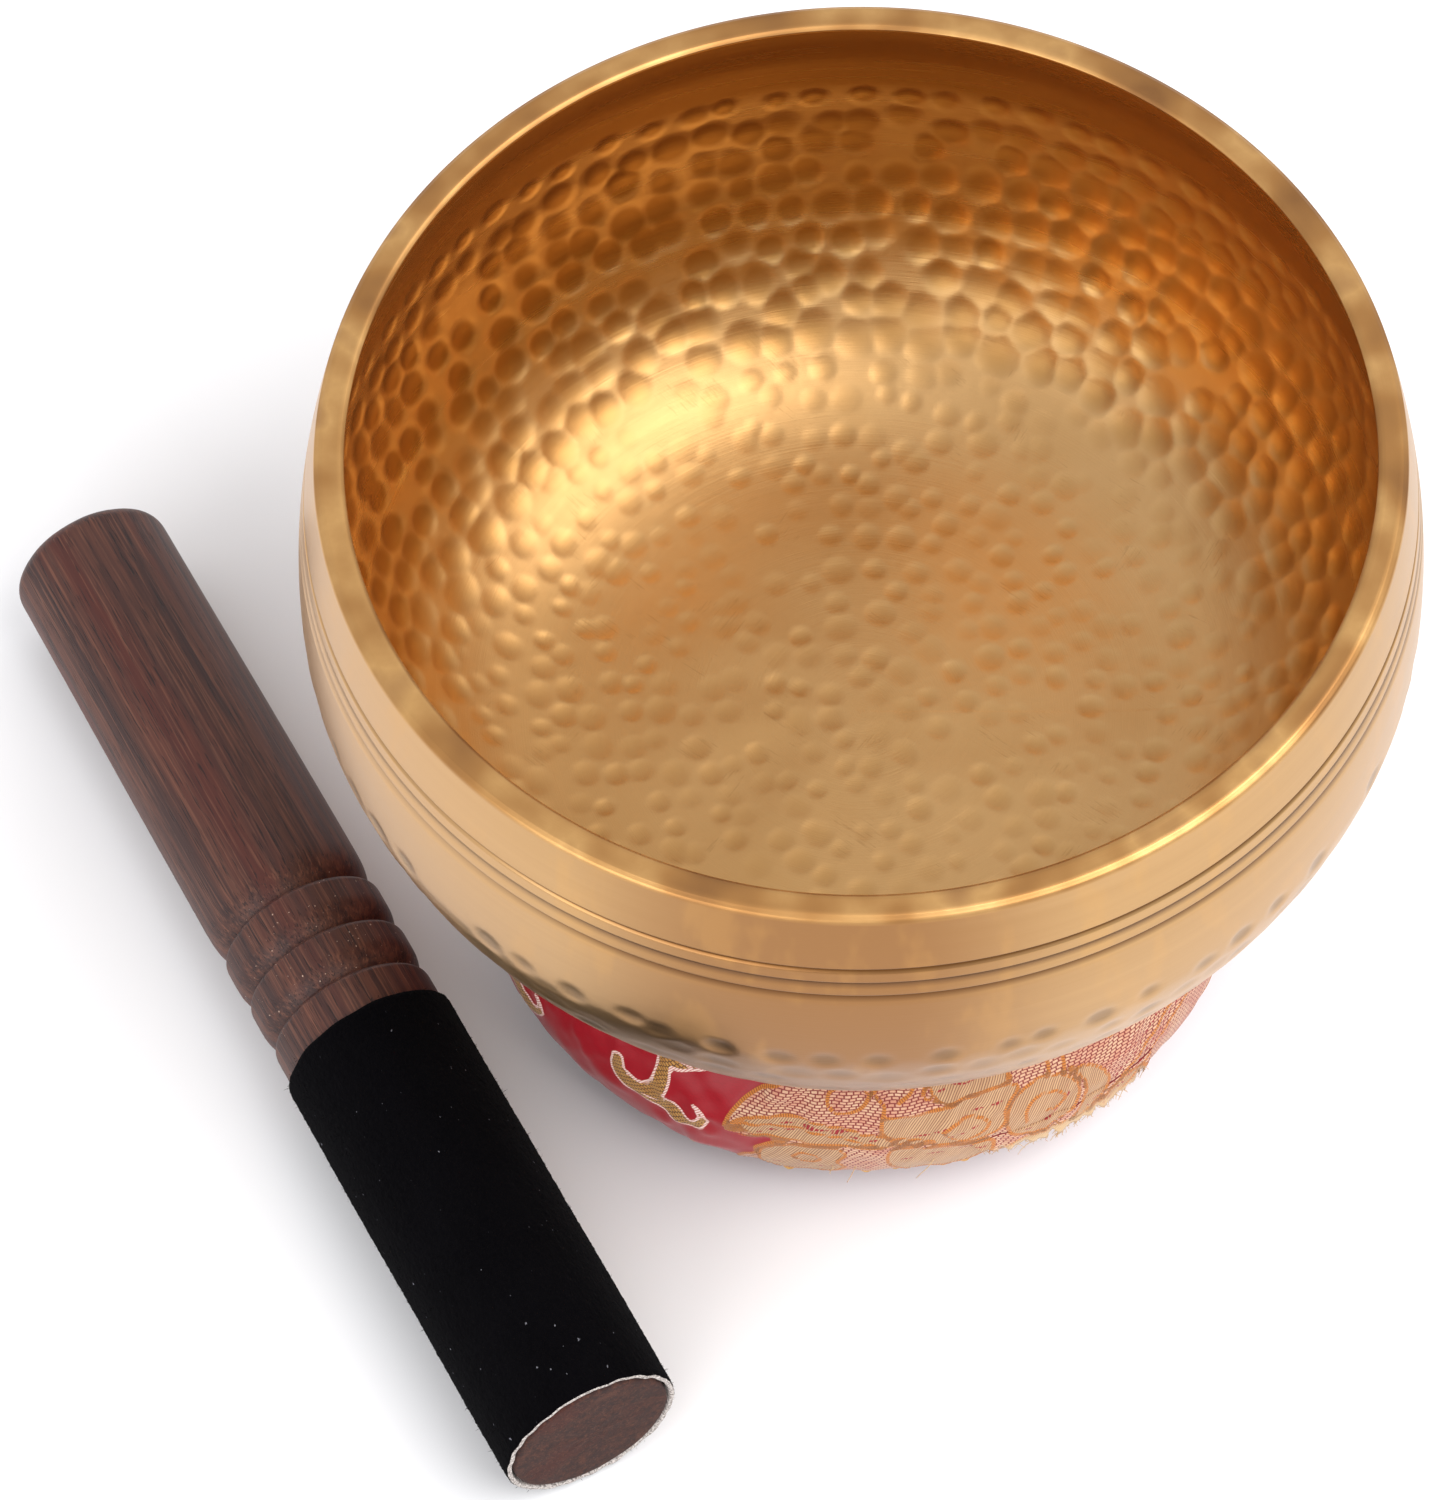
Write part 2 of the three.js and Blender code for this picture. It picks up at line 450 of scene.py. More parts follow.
def wall_thickness(depth):
    near_rim = np.clip((10 - depth) / 9, 0, 1)
    return WALL + (RIM_WIDTH - WALL) * near_rim**2 * (3 - 2 * near_rim)


def inside_profile():
    """The outside moved in by the wall, from under the rim's inner chamfer to the floor's centre."""
    outer = outside_profile()[1:]
    along = np.gradient(outer, axis=0)
    along /= np.linalg.norm(along, axis=1)[:, None]
    thick = wall_thickness(-outer[:, 1])
    inner = outer + np.stack([-along[:, 1], along[:, 0]], 1) * thick[:, None]
    inner = inner[inner[:, 1] < -RIM_CHAMFER - 0.1][::-1]
    inner = inner[inner[:, 0] > 12]
    inner = inner[inner[:, 1] <= np.minimum.accumulate(inner[:, 1])]
    return np.vstack([[RIM_RADIUS - RIM_WIDTH, -RIM_CHAMFER], inner, [0, inner[-1, 1] - 0.02]])


def soften(profile, passes=14):
    """Evens out the curvature of a profile, and leaves its ends where they are."""
    for _ in range(passes):
        profile[1:-1] = (profile[:-2] + 2 * profile[1:-1] + profile[2:]) / 4
    return profile


def bowl_profile():
    """The whole closed profile, outside, rim and inside, and where the rim and the inside start in it."""

    def outside_step(radius, height):
        near = min(abs(-height - at) for at in GROOVE_DEPTHS)
        return 0.12 if near < 0.7 else (0.85 if height > -22 else 0.62)

    outside = resample(outside_profile(), outside_step)
    outside[:, 0] -= groove_cut(-outside[:, 1])
    outer_edge = RIM_RADIUS - RIM_CHAMFER
    inner_edge = RIM_RADIUS - RIM_WIDTH + RIM_CHAMFER
    soft = 0.09
    rim = [
        [RIM_RADIUS - soft, -RIM_CHAMFER + soft],
        [outer_edge + soft, -soft],
        [outer_edge - soft, 0],
        [outer_edge - 0.5, 0],
        [(outer_edge + inner_edge) / 2, 0],
        [inner_edge + 0.5, 0],
        [inner_edge + soft, 0],
        [inner_edge - soft, -soft],
        [RIM_RADIUS - RIM_WIDTH + soft, -RIM_CHAMFER + soft],
    ]
    inside = soften(resample(inside_profile(), lambda radius, height: 0.43 if radius > 10 else 0.6))
    return np.vstack([outside, rim, inside]), len(outside), len(outside) + len(rim)


class Hammering:
    """Adds up overlapping round scoops on a Turning, as a depth in millimetres for each vertex."""

    SHARP = 10

    def __init__(self, turning):
        self.turning = turning
        self.total = np.zeros(int(turning.starts[-1]))

    def strike(self, along, theta, radius, depth, squeeze=1.0):
        t = self.turning
        first, last = np.searchsorted(t.along, (along - radius, along + radius))
        for i in range(first, last):
            n, ring_radius = t.counts[i], max(t.profile[i, 0], 0.3)
            reach = math.sqrt(max(radius**2 - (t.along[i] - along) ** 2, 0)) * squeeze / ring_radius
            if reach >= math.pi or n < 8:
                continue
            low = math.ceil((theta - reach) / TAU * n)
            high = math.floor((theta + reach) / TAU * n)
            if high < low:
                continue
            j = np.arange(low, high + 1)
            across = (j / n * TAU - theta) * ring_radius / squeeze
            near = ((t.along[i] - along) ** 2 + across**2) / radius**2
            cap = depth * np.clip(1 - near, 0, None)
            self.total[int(t.starts[i]) + (j % n)] += cap**self.SHARP

    def strike_row(self, along, marks):
        """A row of marks round the bowl, at a distance along the profile."""
        t = self.turning
        radius = float(np.interp(along, t.along, t.profile[:, 0]))
        count = max(3, int(TAU * radius / marks.pitch))
        offset = rng.uniform(0, TAU)
        for k in range(count):
            if marks.misses and rng.random() < marks.misses:
                continue
            theta = offset + TAU * (k + rng.uniform(-marks.swing, marks.swing)) / count
            place = along + rng.normal(0, marks.scatter)
            size, deep = rng.uniform(*marks.sizes), rng.uniform(*marks.depths)
            self.strike(place, theta, size, deep, rng.uniform(*marks.widths))

    def depth(self):
        return self.total ** (1 / self.SHARP)


# What a row of hammer marks is like: millimetres, and widths as shares of the size.
Marks = namedtuple("Marks", "pitch swing scatter sizes depths widths misses")
FIRST_ROW = Marks(5.3, 0.2, 0.35, (1.9, 2.3), (0.26, 0.38), (0.88, 1.14), 0)
UPPER_WALL = Marks(4.9, 0.2, 0.5, (2.6, 3.3), (0.24, 0.36), (0.8096, 1.0488), 0.07)
LOWER_WALL = Marks(4.6, 0.2, 0.7, (2.3, 3.0), (0.20, 0.34), (0.8624, 1.1172), 0.07)
BOWL_FLOOR = Marks(4.2, 0.2, 0.9, (1.3, 2.0), (0.06, 0.16), (0.88, 1.14), 0.07)
OUTSIDE_FIRST_ROW = Marks(6.2, 0.24, 0.3, (1.8, 2.2), (0.20, 0.30), (0.95, 1.25), 0.06)
OUTSIDE_ROWS = Marks(5.0, 0.24, 0.7, (1.9, 2.7), (0.12, 0.22), (0.95, 1.25), 0.06)

SMOOTH_BAND = 18.5
UPPER_WALL_END = 38
FLOOR_START = BOWL_HEIGHT - 9
OUTSIDE_ROW_DEPTHS = (26.8, 31.4, 36.0, 40.6, 45.2, 49.6, 53.6, 57.0, 59.6)


def hammer_inside(hammering, start):
    """Rows of marks from under the smooth band down the wall and, smaller, across the floor."""
    t = hammering.turning
    along, end = start + SMOOTH_BAND, t.along[-1]
    hammering.strike_row(along, FIRST_ROW)
    along += 5.6
    while along < end - 3:
        depth = -float(np.interp(along, t.along, t.profile[:, 1]))
        if depth < UPPER_WALL_END:
            marks, step = UPPER_WALL, 4.7
        elif depth < FLOOR_START:
            marks, step = LOWER_WALL, 4.2
        else:
            marks, step = BOWL_FLOOR, 3.9
        hammering.strike_row(along, marks)
        along += step


def hammer_outside(hammering):
    """Rows of marks round the outside from the belly down to the base."""
    t = hammering.turning
    outside = len(t.profile) // 3
    for row, depth in enumerate(OUTSIDE_ROW_DEPTHS):
        ring = int(np.argmin(np.abs(t.profile[:outside, 1] + depth)))
        hammering.strike_row(t.along[ring], OUTSIDE_ROWS if row else OUTSIDE_FIRST_ROW)


def wander(theta, along, seed, pieces=10):
    """A slow random ripple over a surface of revolution, about -1 to 1."""
    draw = np.random.default_rng(seed)
    made = np.zeros_like(theta)
    for _ in range(pieces):
        turns, start, lean = draw.integers(1, 9), draw.uniform(0, TAU), draw.uniform(-0.22, 0.22)
        made += np.cos(turns * theta + start + along * lean)
    return made / math.sqrt(pieces)


def make_bowl(finish):
    profile, rim_start, inside_start = bowl_profile()

    def count(index, radius):
        if index < inside_start:
            return 768 if radius > 26 else (384 if radius > 12 else 192)
        for limit, n in ((26, 768), (12, 384), (6, 192), (3, 96)):
            if radius > limit:
                return n
        return 48

    turning = Turning(profile, [count(i, r) for i, (r, _) in enumerate(profile)])
    inside_marks, outside_marks = Hammering(turning), Hammering(turning)
    hammer_inside(inside_marks, turning.along[inside_start])
    hammer_outside(outside_marks)
    inside_depth, outside_depth = inside_marks.depth(), outside_marks.depth()
    theta = turning.theta()
    along = turning.ring_values(turning.along)
    index = turning.ring_values(np.arange(len(profile)))
    height = turning.ring_values(profile[:, 1])
    is_inside = index >= inside_start
    below_band = np.clip((-height - 16) / 12, 0, 1)
    calm = np.clip(turning.ring_values(profile[:, 0]) / 14, 0, 1) ** 2
    ripple = wander(theta, along, 5) * 0.10 * below_band * calm
    ripple_out = wander(theta, along, 6) * 0.04 * np.clip((-height - 22) / 15, 0, 1) * calm
    lift = np.where(is_inside, ripple - inside_depth, ripple_out - outside_depth)
    points = turning.vertices(lift)
    bowl = link("bowl_hammered", points * MM, turning.faces(), [finish])
    bowl.location = (BOWL_X, BOWL_Y, RIM_Z * MM)
    store(bowl, "along", along)
    store(bowl, "turn", theta)
    store(bowl, "pit", np.clip(inside_depth / 0.3 + outside_depth / 0.2, 0, 1))
    on_rim = (index >= rim_start - 1) & (index <= inside_start)
    store(bowl, "rim", on_rim.astype(float))
    store(bowl, "inside", is_inside.astype(float))
    store(bowl, "depth", -height)
    store(bowl, "groove", np.where(is_inside | on_rim, 0, groove_cut(-height) / GROOVE_CUT))
    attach(bowl, "bowl")
    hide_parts("bowl")


def bronze():
    g = Graph("bronze")
    along, turn, depth, pit, rim, inside, groove = (
        g.number(name) for name in ("along", "turn", "depth", "pit", "rim", "inside", "groove")
    )
    cosine, sine = turn.math("COSINE", turn), turn.math("SINE", turn)
    place = g.place()
    patches = g.noise(place, 70, 4.0, 0.6)

    def turned(pace, around, detail, roughness):
        """Noise drawn out round the lathe's axis."""
        path = g.vector(along * pace, cosine * around, sine * around)
        return g.noise(path, 1.0, detail, roughness)

    lathe, broad, rings = turned(5.0, 3.0, 3.0, 0.6), turned(0.55, 1.2, 3.0, 0.55), turned(9.0, 1.4, 4.0, 0.7)

    # painted highlight: the outside's left side is mixed towards a paler tone, as if more light fell there
    left = 1.0 - cosine.step(-0.95, -0.35)
    # painted shade: the outside's front, towards the camera, is mixed towards a darker brown
    shaded_front = (1.0 - sine.step(-1.0, -0.84)) * (1.0 - cosine.step(0.05, 0.5))
    smudges = g.noise(place, (160, 160, 60), 3.0, 0.55, shift=(2, 0, 5)).step(0.5, 0.66)
    outside_tone = g.layers(
        g.mix(broad, srgb(178, 140, 94), srgb(196, 158, 110)),
        (left * 0.5, srgb(208, 168, 124)),
        (shaded_front * 0.95, srgb(150, 108, 68)),
        (smudges * 0.16, srgb(214, 162, 92)),
    )

    # painted light and shade inside: the left half of the floor is mixed darker, and the wall goes from a
    # dark tone on the left to a pale one on the right
    across = g.split(place)[0].step(-0.05, 0.05)
    # painted highlight: the ridges between the wall's hammer marks are mixed paler
    lit_ridges = 1.0 - pit.step(0.20, 0.75)
    smooth_band = 1.0 - depth.step(15.0, 19.0)
    wall = 1.0 - depth.step(36.0, 54.0)
    floor_tone = g.layers(
        g.mix(patches, srgb(192, 152, 100), srgb(206, 168, 118)),
        # painted shade: the floor's hammer marks are mixed darker by their depth
        (pit * 0.55, srgb(168, 122, 60)),
        ((1.0 - across) * 0.45, srgb(168, 120, 62)),
    )
    wall_tone = g.layers(
        g.mix(across, srgb(164, 118, 60), srgb(214, 167, 98)),
        (lit_ridges * 0.75, srgb(222, 182, 122)),
        (smooth_band, srgb(178, 128, 62)),
    )

    rim_tone = g.ramp(
        g.noise(place, 75),
        (0.30, srgb(138, 98, 62)),
        (0.44, srgb(172, 126, 76)),
        (0.58, srgb(208, 164, 106)),
        (0.72, srgb(156, 114, 76)),
    )
    rim_tone = g.mix(g.noise(place, 900) * 0.35, rim_tone, srgb(166, 118, 66))

    def scratched(slant, pace):
        """Fine lines all one way: the surface is turned first and then drawn out."""
        return g.noise(g.stretch(place, 1.0, (0, 0, slant)), (pace, 4200, 600), 2.0, 0.6)

    where = g.noise(place, (150, 150, 60), 1.0)
    scratches = scratched(0.65, 300) * where.step(0.58, 0.68)
    scratches += scratched(-0.95, 340) * (1.0 - where.step(0.30, 0.40))
    scratches *= inside * (1.0 - wall)

    stains = patches.step(0.60, 0.74)
    # painted shade: the turned grooves on the outside are mixed dark brown, more weakly on the left side
    groove_shade = groove * (cosine.step(-0.80, -0.25) * 0.65 + 0.30)
    tone = g.layers(
        g.mix(inside, outside_tone, g.mix(wall, floor_tone, wall_tone)),
        (stains * 0.12, srgb(164, 120, 76)),
        # painted shade: the deeper hammer marks on the outside are mixed darker
        (pit * pit * (1.0 - inside) * 0.5, srgb(104, 78, 48)),
        (groove_shade, srgb(98, 62, 30)),
        (rim, rim_tone),
        (scratches.step(0.55, 0.70) * 0.20, srgb(120, 84, 44)),
    )
    height = lathe * 0.8 + scratches * 0.9 + rings * inside * 0.9
    rough = broad * 0.12 + 0.25 + rim * 0.10 - wall * inside * 0.05 + (1.0 - wall) * inside * 0.10
    return g.surface(
        Base_Color=tone, Metallic=1.0, Roughness=rough, Normal=g.bump(height, 0.00003, 0.6)
    )


def floor_finish():
    g = Graph("studio_floor")
    tone = g.mix(g.noise(g.place(), 3), (0.86, 0.86, 0.87), (0.89, 0.89, 0.9))
    return g.surface(Base_Color=tone, Roughness=0.75)


# ---------------------------------------------------------------- cushion: shape

SIM_RINGS, SIM_SEGMENTS = 64, 160
SIM_INSET = 1.2
SIM_SCALE = 10
SIM_FRAMES = 20
SIM_BUMPINESS = 0.012

SWELLING_TAKEN_OUT = 0.75
WRINKLE_LIMIT = 1.6
WRINKLE_SHARE = 0.36


def cushion_arc():
    """The cushion's outline from the top's centre to the base's, as arc length, radius and height."""
    turn = np.radians(np.linspace(90, -90, 361))
    radius = np.concatenate([[0], FLAT_RADIUS + SIDE_BULGE * np.cos(turn), [0]])
    height = np.concatenate([[CUSHION_HEIGHT], HALF_HEIGHT + HALF_HEIGHT * np.sin(turn), [0]])
    along = np.concatenate([[0], np.cumsum(np.hypot(np.diff(radius), np.diff(height)))])
    return along, radius, height


ARC, ARC_RADIUS, ARC_HEIGHT = cushion_arc()
ARC_END = ARC[-1]
SEAM_TURN = math.radians(SEAM_ANGLE)
SEAM_HEIGHT = HALF_HEIGHT + HALF_HEIGHT * math.sin(SEAM_TURN)
SEAM_ALONG = float(np.interp(-SEAM_HEIGHT, -ARC_HEIGHT[1:-1], ARC[1:-1]))


def outline(along):
    """Radius and height at an arc length, and the outward normal there as outwards and up."""
    radius = np.interp(along, ARC, ARC_RADIUS)
    height = np.interp(along, ARC, ARC_HEIGHT)
    step = 0.6
    ahead, behind = np.clip(along + step, 0, ARC_END), np.clip(along - step, 0, ARC_END)
    dr = np.interp(ahead, ARC, ARC_RADIUS) - np.interp(behind, ARC, ARC_RADIUS)
    dz = np.interp(ahead, ARC, ARC_HEIGHT) - np.interp(behind, ARC, ARC_HEIGHT)
    size = np.hypot(dr, dz)
    return radius, height, -dz / size, dr / size


def puff_with_cloth():
    """How air pressure, the drawn-up seam and the bowl's foot move the cushion's skin.

    The result is a grid over arc length and angle, in millimetres: outwards, round and up.
    """
    along = np.linspace(SIM_INSET, ARC_END - SIM_INSET, SIM_RINGS)
    theta = TAU * np.arange(SIM_SEGMENTS) / SIM_SEGMENTS
    radius, height, _, _ = outline(along)
    rest = np.zeros((SIM_RINGS, SIM_SEGMENTS, 3))
    bumpy = 1 + SIM_BUMPINESS * rng.standard_normal((SIM_RINGS, SIM_SEGMENTS))
    rest[..., 0] = radius[:, None] * np.cos(theta) * bumpy
    rest[..., 1] = radius[:, None] * np.sin(theta) * bumpy
    rest[..., 2] = height[:, None]
    faces = []
    for a in range(0, (SIM_RINGS - 1) * SIM_SEGMENTS, SIM_SEGMENTS):
        b = a + SIM_SEGMENTS
        for j in range(SIM_SEGMENTS):
            k = (j + 1) % SIM_SEGMENTS
            faces.append((a + j, b + j, b + k, a + k))
    faces.append(tuple(range(SIM_SEGMENTS)))
    faces.append(tuple(b + j for j in reversed(range(SIM_SEGMENTS))))
    skin = link("cushion_skin", rest.reshape(-1, 3) * MM * SIM_SCALE, faces, [])
    seam_ring = int(np.argmin(np.abs(along - SEAM_ALONG)))
    drawn = skin.vertex_groups.new(name="drawn")
    for ring, weight in ((seam_ring - 1, 0.5), (seam_ring, 1.0), (seam_ring + 1, 0.5)):
        drawn.add([ring * SIM_SEGMENTS + j for j in range(SIM_SEGMENTS)], weight, "REPLACE")
    obstacles = [sim_floor(), sim_bowl_foot()]
    cloth = skin.modifiers.new("cloth", "CLOTH")
    settings = cloth.settings
    settings.quality = 7
    settings.mass = 0.3
    settings.tension_stiffness = settings.compression_stiffness = 12
    settings.shear_stiffness = 4
    settings.bending_stiffness = 0.4
    settings.use_pressure = True
    settings.uniform_pressure_force = 4
    settings.effector_weights.gravity = 0
    settings.vertex_group_shrink = "drawn"
    settings.shrink_max = 0.12
    cloth.collision_settings.use_collision = True
    cloth.collision_settings.distance_min = 0.004
    scene = bpy.context.scene
    scene.frame_start, scene.frame_end = 1, SIM_FRAMES
    cloth.point_cache.frame_start, cloth.point_cache.frame_end = 1, SIM_FRAMES
    for frame_number in range(1, SIM_FRAMES + 1):
        scene.frame_set(frame_number)
    evaluated = skin.evaluated_get(bpy.context.evaluated_depsgraph_get())
    moved = np.empty(SIM_RINGS * SIM_SEGMENTS * 3)
    evaluated.data.vertices.foreach_get("co", moved)
    moved = moved.reshape(SIM_RINGS, SIM_SEGMENTS, 3) / MM / SIM_SCALE
    scene.frame_set(1)
    for piece in [skin, *obstacles]:
        bpy.data.objects.remove(piece)
    x, y, z = (moved[..., k] for k in range(3))
    out = x * np.cos(theta) + y * np.sin(theta)
    around = y * np.cos(theta) - x * np.sin(theta)
    return settle(np.stack([out - radius[:, None], around, z - height[:, None]], -1))


def sim_floor():
    half = 2.0
    corners = [(-half, -half, 0), (half, -half, 0), (half, half, 0), (-half, half, 0)]
    floor = link("sim_floor", corners, [(0, 1, 2, 3)], [])
    floor.modifiers.new("collision", "COLLISION")
    return floor


def sim_bowl_foot():
    profile = outside_profile()[1:200:4]
    foot = Turning(profile[profile[:, 1] < -20], [64] * len(profile))
    points = foot.vertices()
    points[:, 2] += RIM_Z
    points[:, 1] += BOWL_Y / MM
    made = link("sim_foot", points * MM * SIM_SCALE, foot.faces(), [])
    made.modifiers.new("collision", "COLLISION")
    return made


def settle(shift):
    """Keeps the wrinkles and a share of the overall swelling, within a limit that holds the outline."""
    swelling = shift.mean(axis=1, keepdims=True)
    kept = shift - swelling * SWELLING_TAKEN_OUT
    size = np.linalg.norm(kept, axis=-1, keepdims=True)
    return WRINKLE_SHARE * kept * np.where(size > WRINKLE_LIMIT, WRINKLE_LIMIT / np.maximum(size, 1e-9), 1)


def cubic(values, fraction):
    """A smooth curve through the second and third of four values, at fractions of the way."""
    a, b, c, d = values
    f = fraction[:, None]
    return b + 0.5 * f * (c - a + f * (2 * a - 5 * b + 4 * c - d + f * (3 * (b - c) + d - a)))


def sample(grid, along, theta):
    """The grid's smooth value at each arc length and angle."""
    rings, segments = grid.shape[:2]
    share = (along - SIM_INSET) / (ARC_END - 2 * SIM_INSET)
    row = np.clip(share * (rings - 1), 0, rings - 1 - 1e-6)
    column = (theta / TAU * segments) % segments
    i, j = np.floor(row).astype(int), np.floor(column).astype(int)
    rows = []
    for di in (-1, 0, 1, 2):
        r = np.clip(i + di, 0, rings - 1)
        taps = [grid[r, (j + dj) % segments] for dj in (-1, 0, 1, 2)]
        rows.append(cubic(taps, column - j))
    return cubic(rows, row - i)


class Cushion:
    """Where a point of the cushion lies, from arc length, angle and depth under the skin."""

    def __init__(self):
        self.grid = puff_with_cloth()

    def pucker(self, along, theta):
        """Small gathers at the seam, and deeper pleats towards the top's centre, along the normal."""
        near_seam = np.exp(-np.abs(along - SEAM_ALONG) / 3.2)
        gathers = wander(theta * 9, along, 21, 9) * 0.32 - 0.25
        radial = np.cos(17 * theta + 1.3 * wander(theta, along, 23, 5))
        centre = np.clip(1 - along / 30, 0, 1) ** 1.3 * np.clip(along / 3, 0, 1)
        soft = wander(theta, along * 1.2, 25, 12) * 0.16
        return gathers * near_seam + (radial - 1) * 0.9 * centre + soft * np.clip(along / 34, 0, 1)

    def place(self, along, theta, depth, relief=0.0):
        """Points in millimetres. Depth is under the skin and relief above it."""
        radius, height, out, up = outline(along)
        shift = sample(self.grid, along, theta)
        lift = self.pucker(along, theta) - depth + relief
        fade = np.clip(radius / 4, 0, 1)
        r = radius + (shift[:, 0] + out * lift) * fade
        z = height + shift[:, 2] * fade + up * lift
        t = theta + shift[:, 1] * fade / np.maximum(radius, 5)
        on_top = (radius < FLAT_RADIUS + 2) & (height > HALF_HEIGHT)
        z = np.where(on_top, np.minimum(z, CUSHION_HEIGHT - depth), z)
        z = np.maximum(z, np.minimum(depth, 0.9) + 0.02)
        return np.stack([r * np.cos(t), r * np.sin(t), z], 1)


# ---------------------------------------------------------------- cushion: pattern

POINTS_PER_SPAN = 6

def spline(points):
    """A smooth curve through the points."""
    p = np.asarray(points, float)
    p = np.vstack([2 * p[0] - p[1], p, 2 * p[-1] - p[-2]])
    fractions = np.arange(POINTS_PER_SPAN) / POINTS_PER_SPAN
    spans = [cubic(p[k : k + 4], fractions) for k in range(len(p) - 3)]
    return np.vstack([*spans, p[-2:-1]])


def nearest(points, curve):
    """Distance from each point to a polyline, and how far along it the nearest place is."""
    best = np.full(len(points), 1e9)
    run = np.zeros(len(points))
    share = np.zeros(len(points))
    start = 0.0
    for k in range(len(curve) - 1):
        a, b = curve[k], curve[k + 1]
        d = b - a
        length = math.hypot(*d)
        if length < 1e-9:
            continue
        f = np.clip(((points - a) @ d) / length**2, 0, 1)
        away = np.hypot(*(points - a - f[:, None] * d).T)
        closer = away < best
        best = np.where(closer, away, best)
        run = np.where(closer, start + f * length, run)
        share = np.where(closer, (k + f) / (len(curve) - 1), share)
        start += length
    return best, run, share


def inside(points, loop):
    """Signed distance to a closed curve, positive inside."""
    loop = np.vstack([loop, loop[:1]])
    within = np.zeros(len(points), bool)
    for (ax, ay), (bx, by) in zip(loop[:-1], loop[1:]):
        if ay == by:
            continue
        crossing = (points[:, 1] < ay) != (points[:, 1] < by)
        at = ax + (points[:, 1] - ay) * (bx - ax) / (by - ay)
        within ^= crossing & (points[:, 0] < at)
    away, _, _ = nearest(points, loop)
    return np.where(within, away, -away)


def tapered(points, curve, widths):
    """Signed distance to a stroke whose half width changes along it, positive inside."""
    away, _, share = nearest(points, curve)
    half = np.interp(share, np.linspace(0, 1, len(widths)), widths)
    return half - away


# The woven figure, in millimetres round the cushion (across) and down its skin (down).
FIGURE_EDGE = [
    (-9.5, 44), (-10.5, 46.2), (-13.2, 47.6), (-15.7, 50.4), (-17.1, 53.9), (-15.5, 54.8),
    (-11.5, 54.8), (-9.3, 55.2), (-11.6, 56.2), (-13.1, 57.8), (-12.8, 59.3), (-14.6, 61),
    (-15.2, 64), (-11, 67.5), (-4, 69), (6, 69.5), (20, 69.5), (34, 69), (46, 66), (52, 60), (55, 54),
    (52, 49), (45, 45), (38, 41), (33, 36.5), (25, 35), (19, 37.5), (12, 34.5), (4, 36), (-2, 35), (-6, 39),
]
LEAF = [
    (-16.9, 53.9), (-14, 51.7), (-9, 50.7), (-4, 51.6), (2, 53.3), (9, 55.4), (2, 55.3), (-6, 54.9),
    (-12, 54.5),
]
UPPER_LEAF = [(8.6, 46), (12, 45.4), (17, 46), (19.5, 48), (14, 48.8), (10.4, 49.3), (9.2, 47.6)]
LONG_PETAL = [
    (2.6, 50.2), (8, 50.4), (13, 49.2), (18, 48.4), (20.3, 49.6), (18.4, 52), (18.2, 54.4), (16, 55.9),
    (10, 56.1), (5, 55.1), (3, 53.8), (2.4, 52),
]
LOWER_PETAL = [(3.2, 60.5), (3, 57.8), (4.4, 56), (10, 57), (16.2, 57), (15.8, 60.5), (12, 63.5), (6, 63.6)]
LOWER_LOBE = [
    (-12.6, 59), (-12, 57.2), (-9, 55.9), (-3.5, 55.5), (-2, 57.2), (-3, 59), (-2.2, 61.5), (-7, 64),
    (-12, 62.5),
]
CURL = [
    (18.4, 55), (18.8, 52.2), (21, 50.3), (24.4, 49.8), (27, 51.2), (28, 53.8), (27.2, 56.4), (24.8, 58.3),
    (21.4, 58.4), (18.9, 57.2),
]
SIDE_PETAL = [
    (27.4, 50.2), (30, 51.4), (31.9, 54.2), (31.8, 56.8), (29.6, 58.9), (26.6, 60), (28.4, 56.6),
    (28.9, 53.6),
]
SKIRT = [
    (17.6, 60.2), (20, 59.2), (25, 59.4), (30, 59.6), (35, 57.4), (38, 59.6), (33, 63.6), (25, 65.4),
    (18.6, 64),
]
PETALS = [LEAF, UPPER_LEAF, LONG_PETAL, LOWER_PETAL, LOWER_LOBE, CURL, SIDE_PETAL, SKIRT]

GOLD_LINES = [
    [(-16.6, 53.6), (-12.5, 52.6), (-7, 52.6), (-1, 54), (2.4, 55)],
    [(-1.6, 45.6), (-4, 46.6), (-4.2, 48.6), (-2.4, 49.8), (0, 49), (0.8, 47), (-1.2, 45.6)],
    [(2.6, 50.2), (2.8, 48.6), (1.6, 46.6), (3.6, 44.6)],
    [(10.3, 53.6), (12, 52.2), (14.6, 52.1), (16.2, 53.5), (15, 55), (12.2, 55.4), (10.3, 53.6)],
    [(20.9, 56), (21, 53.6), (22.8, 52.1), (25.2, 52.6), (26, 54.4), (24.8, 55.6), (23.4, 55)],
    [(24.2, 50), (24.8, 48.4), (24.4, 46), (25, 44)],
    [(26.6, 50.2), (26.9, 48.4), (27.2, 46), (27, 44)],
    [(4.6, 48.4), (6.6, 46.8), (5.8, 45.2)],
    [(10, 49.2), (8, 48.2), (8.4, 46.6)],
    [(-8.4, 58.6), (-7.2, 57.2), (-5.4, 57.4), (-5, 58.8), (-6.4, 59.6), (-8.4, 58.6)],
    [(29, 59.8), (36, 56), (44, 52.6), (51, 49)],
    [(30.6, 61.4), (38, 57.6), (46, 54), (53, 51)],
    [(27, 38), (21, 40.5), (15, 39.5), (10, 41.5), (3, 40), (-3, 43)],
    [(34, 44), (37, 47), (34.6, 49.6), (31.6, 48.2)],
    [(40, 44.6), (38.4, 48), (41, 50.4)],
]
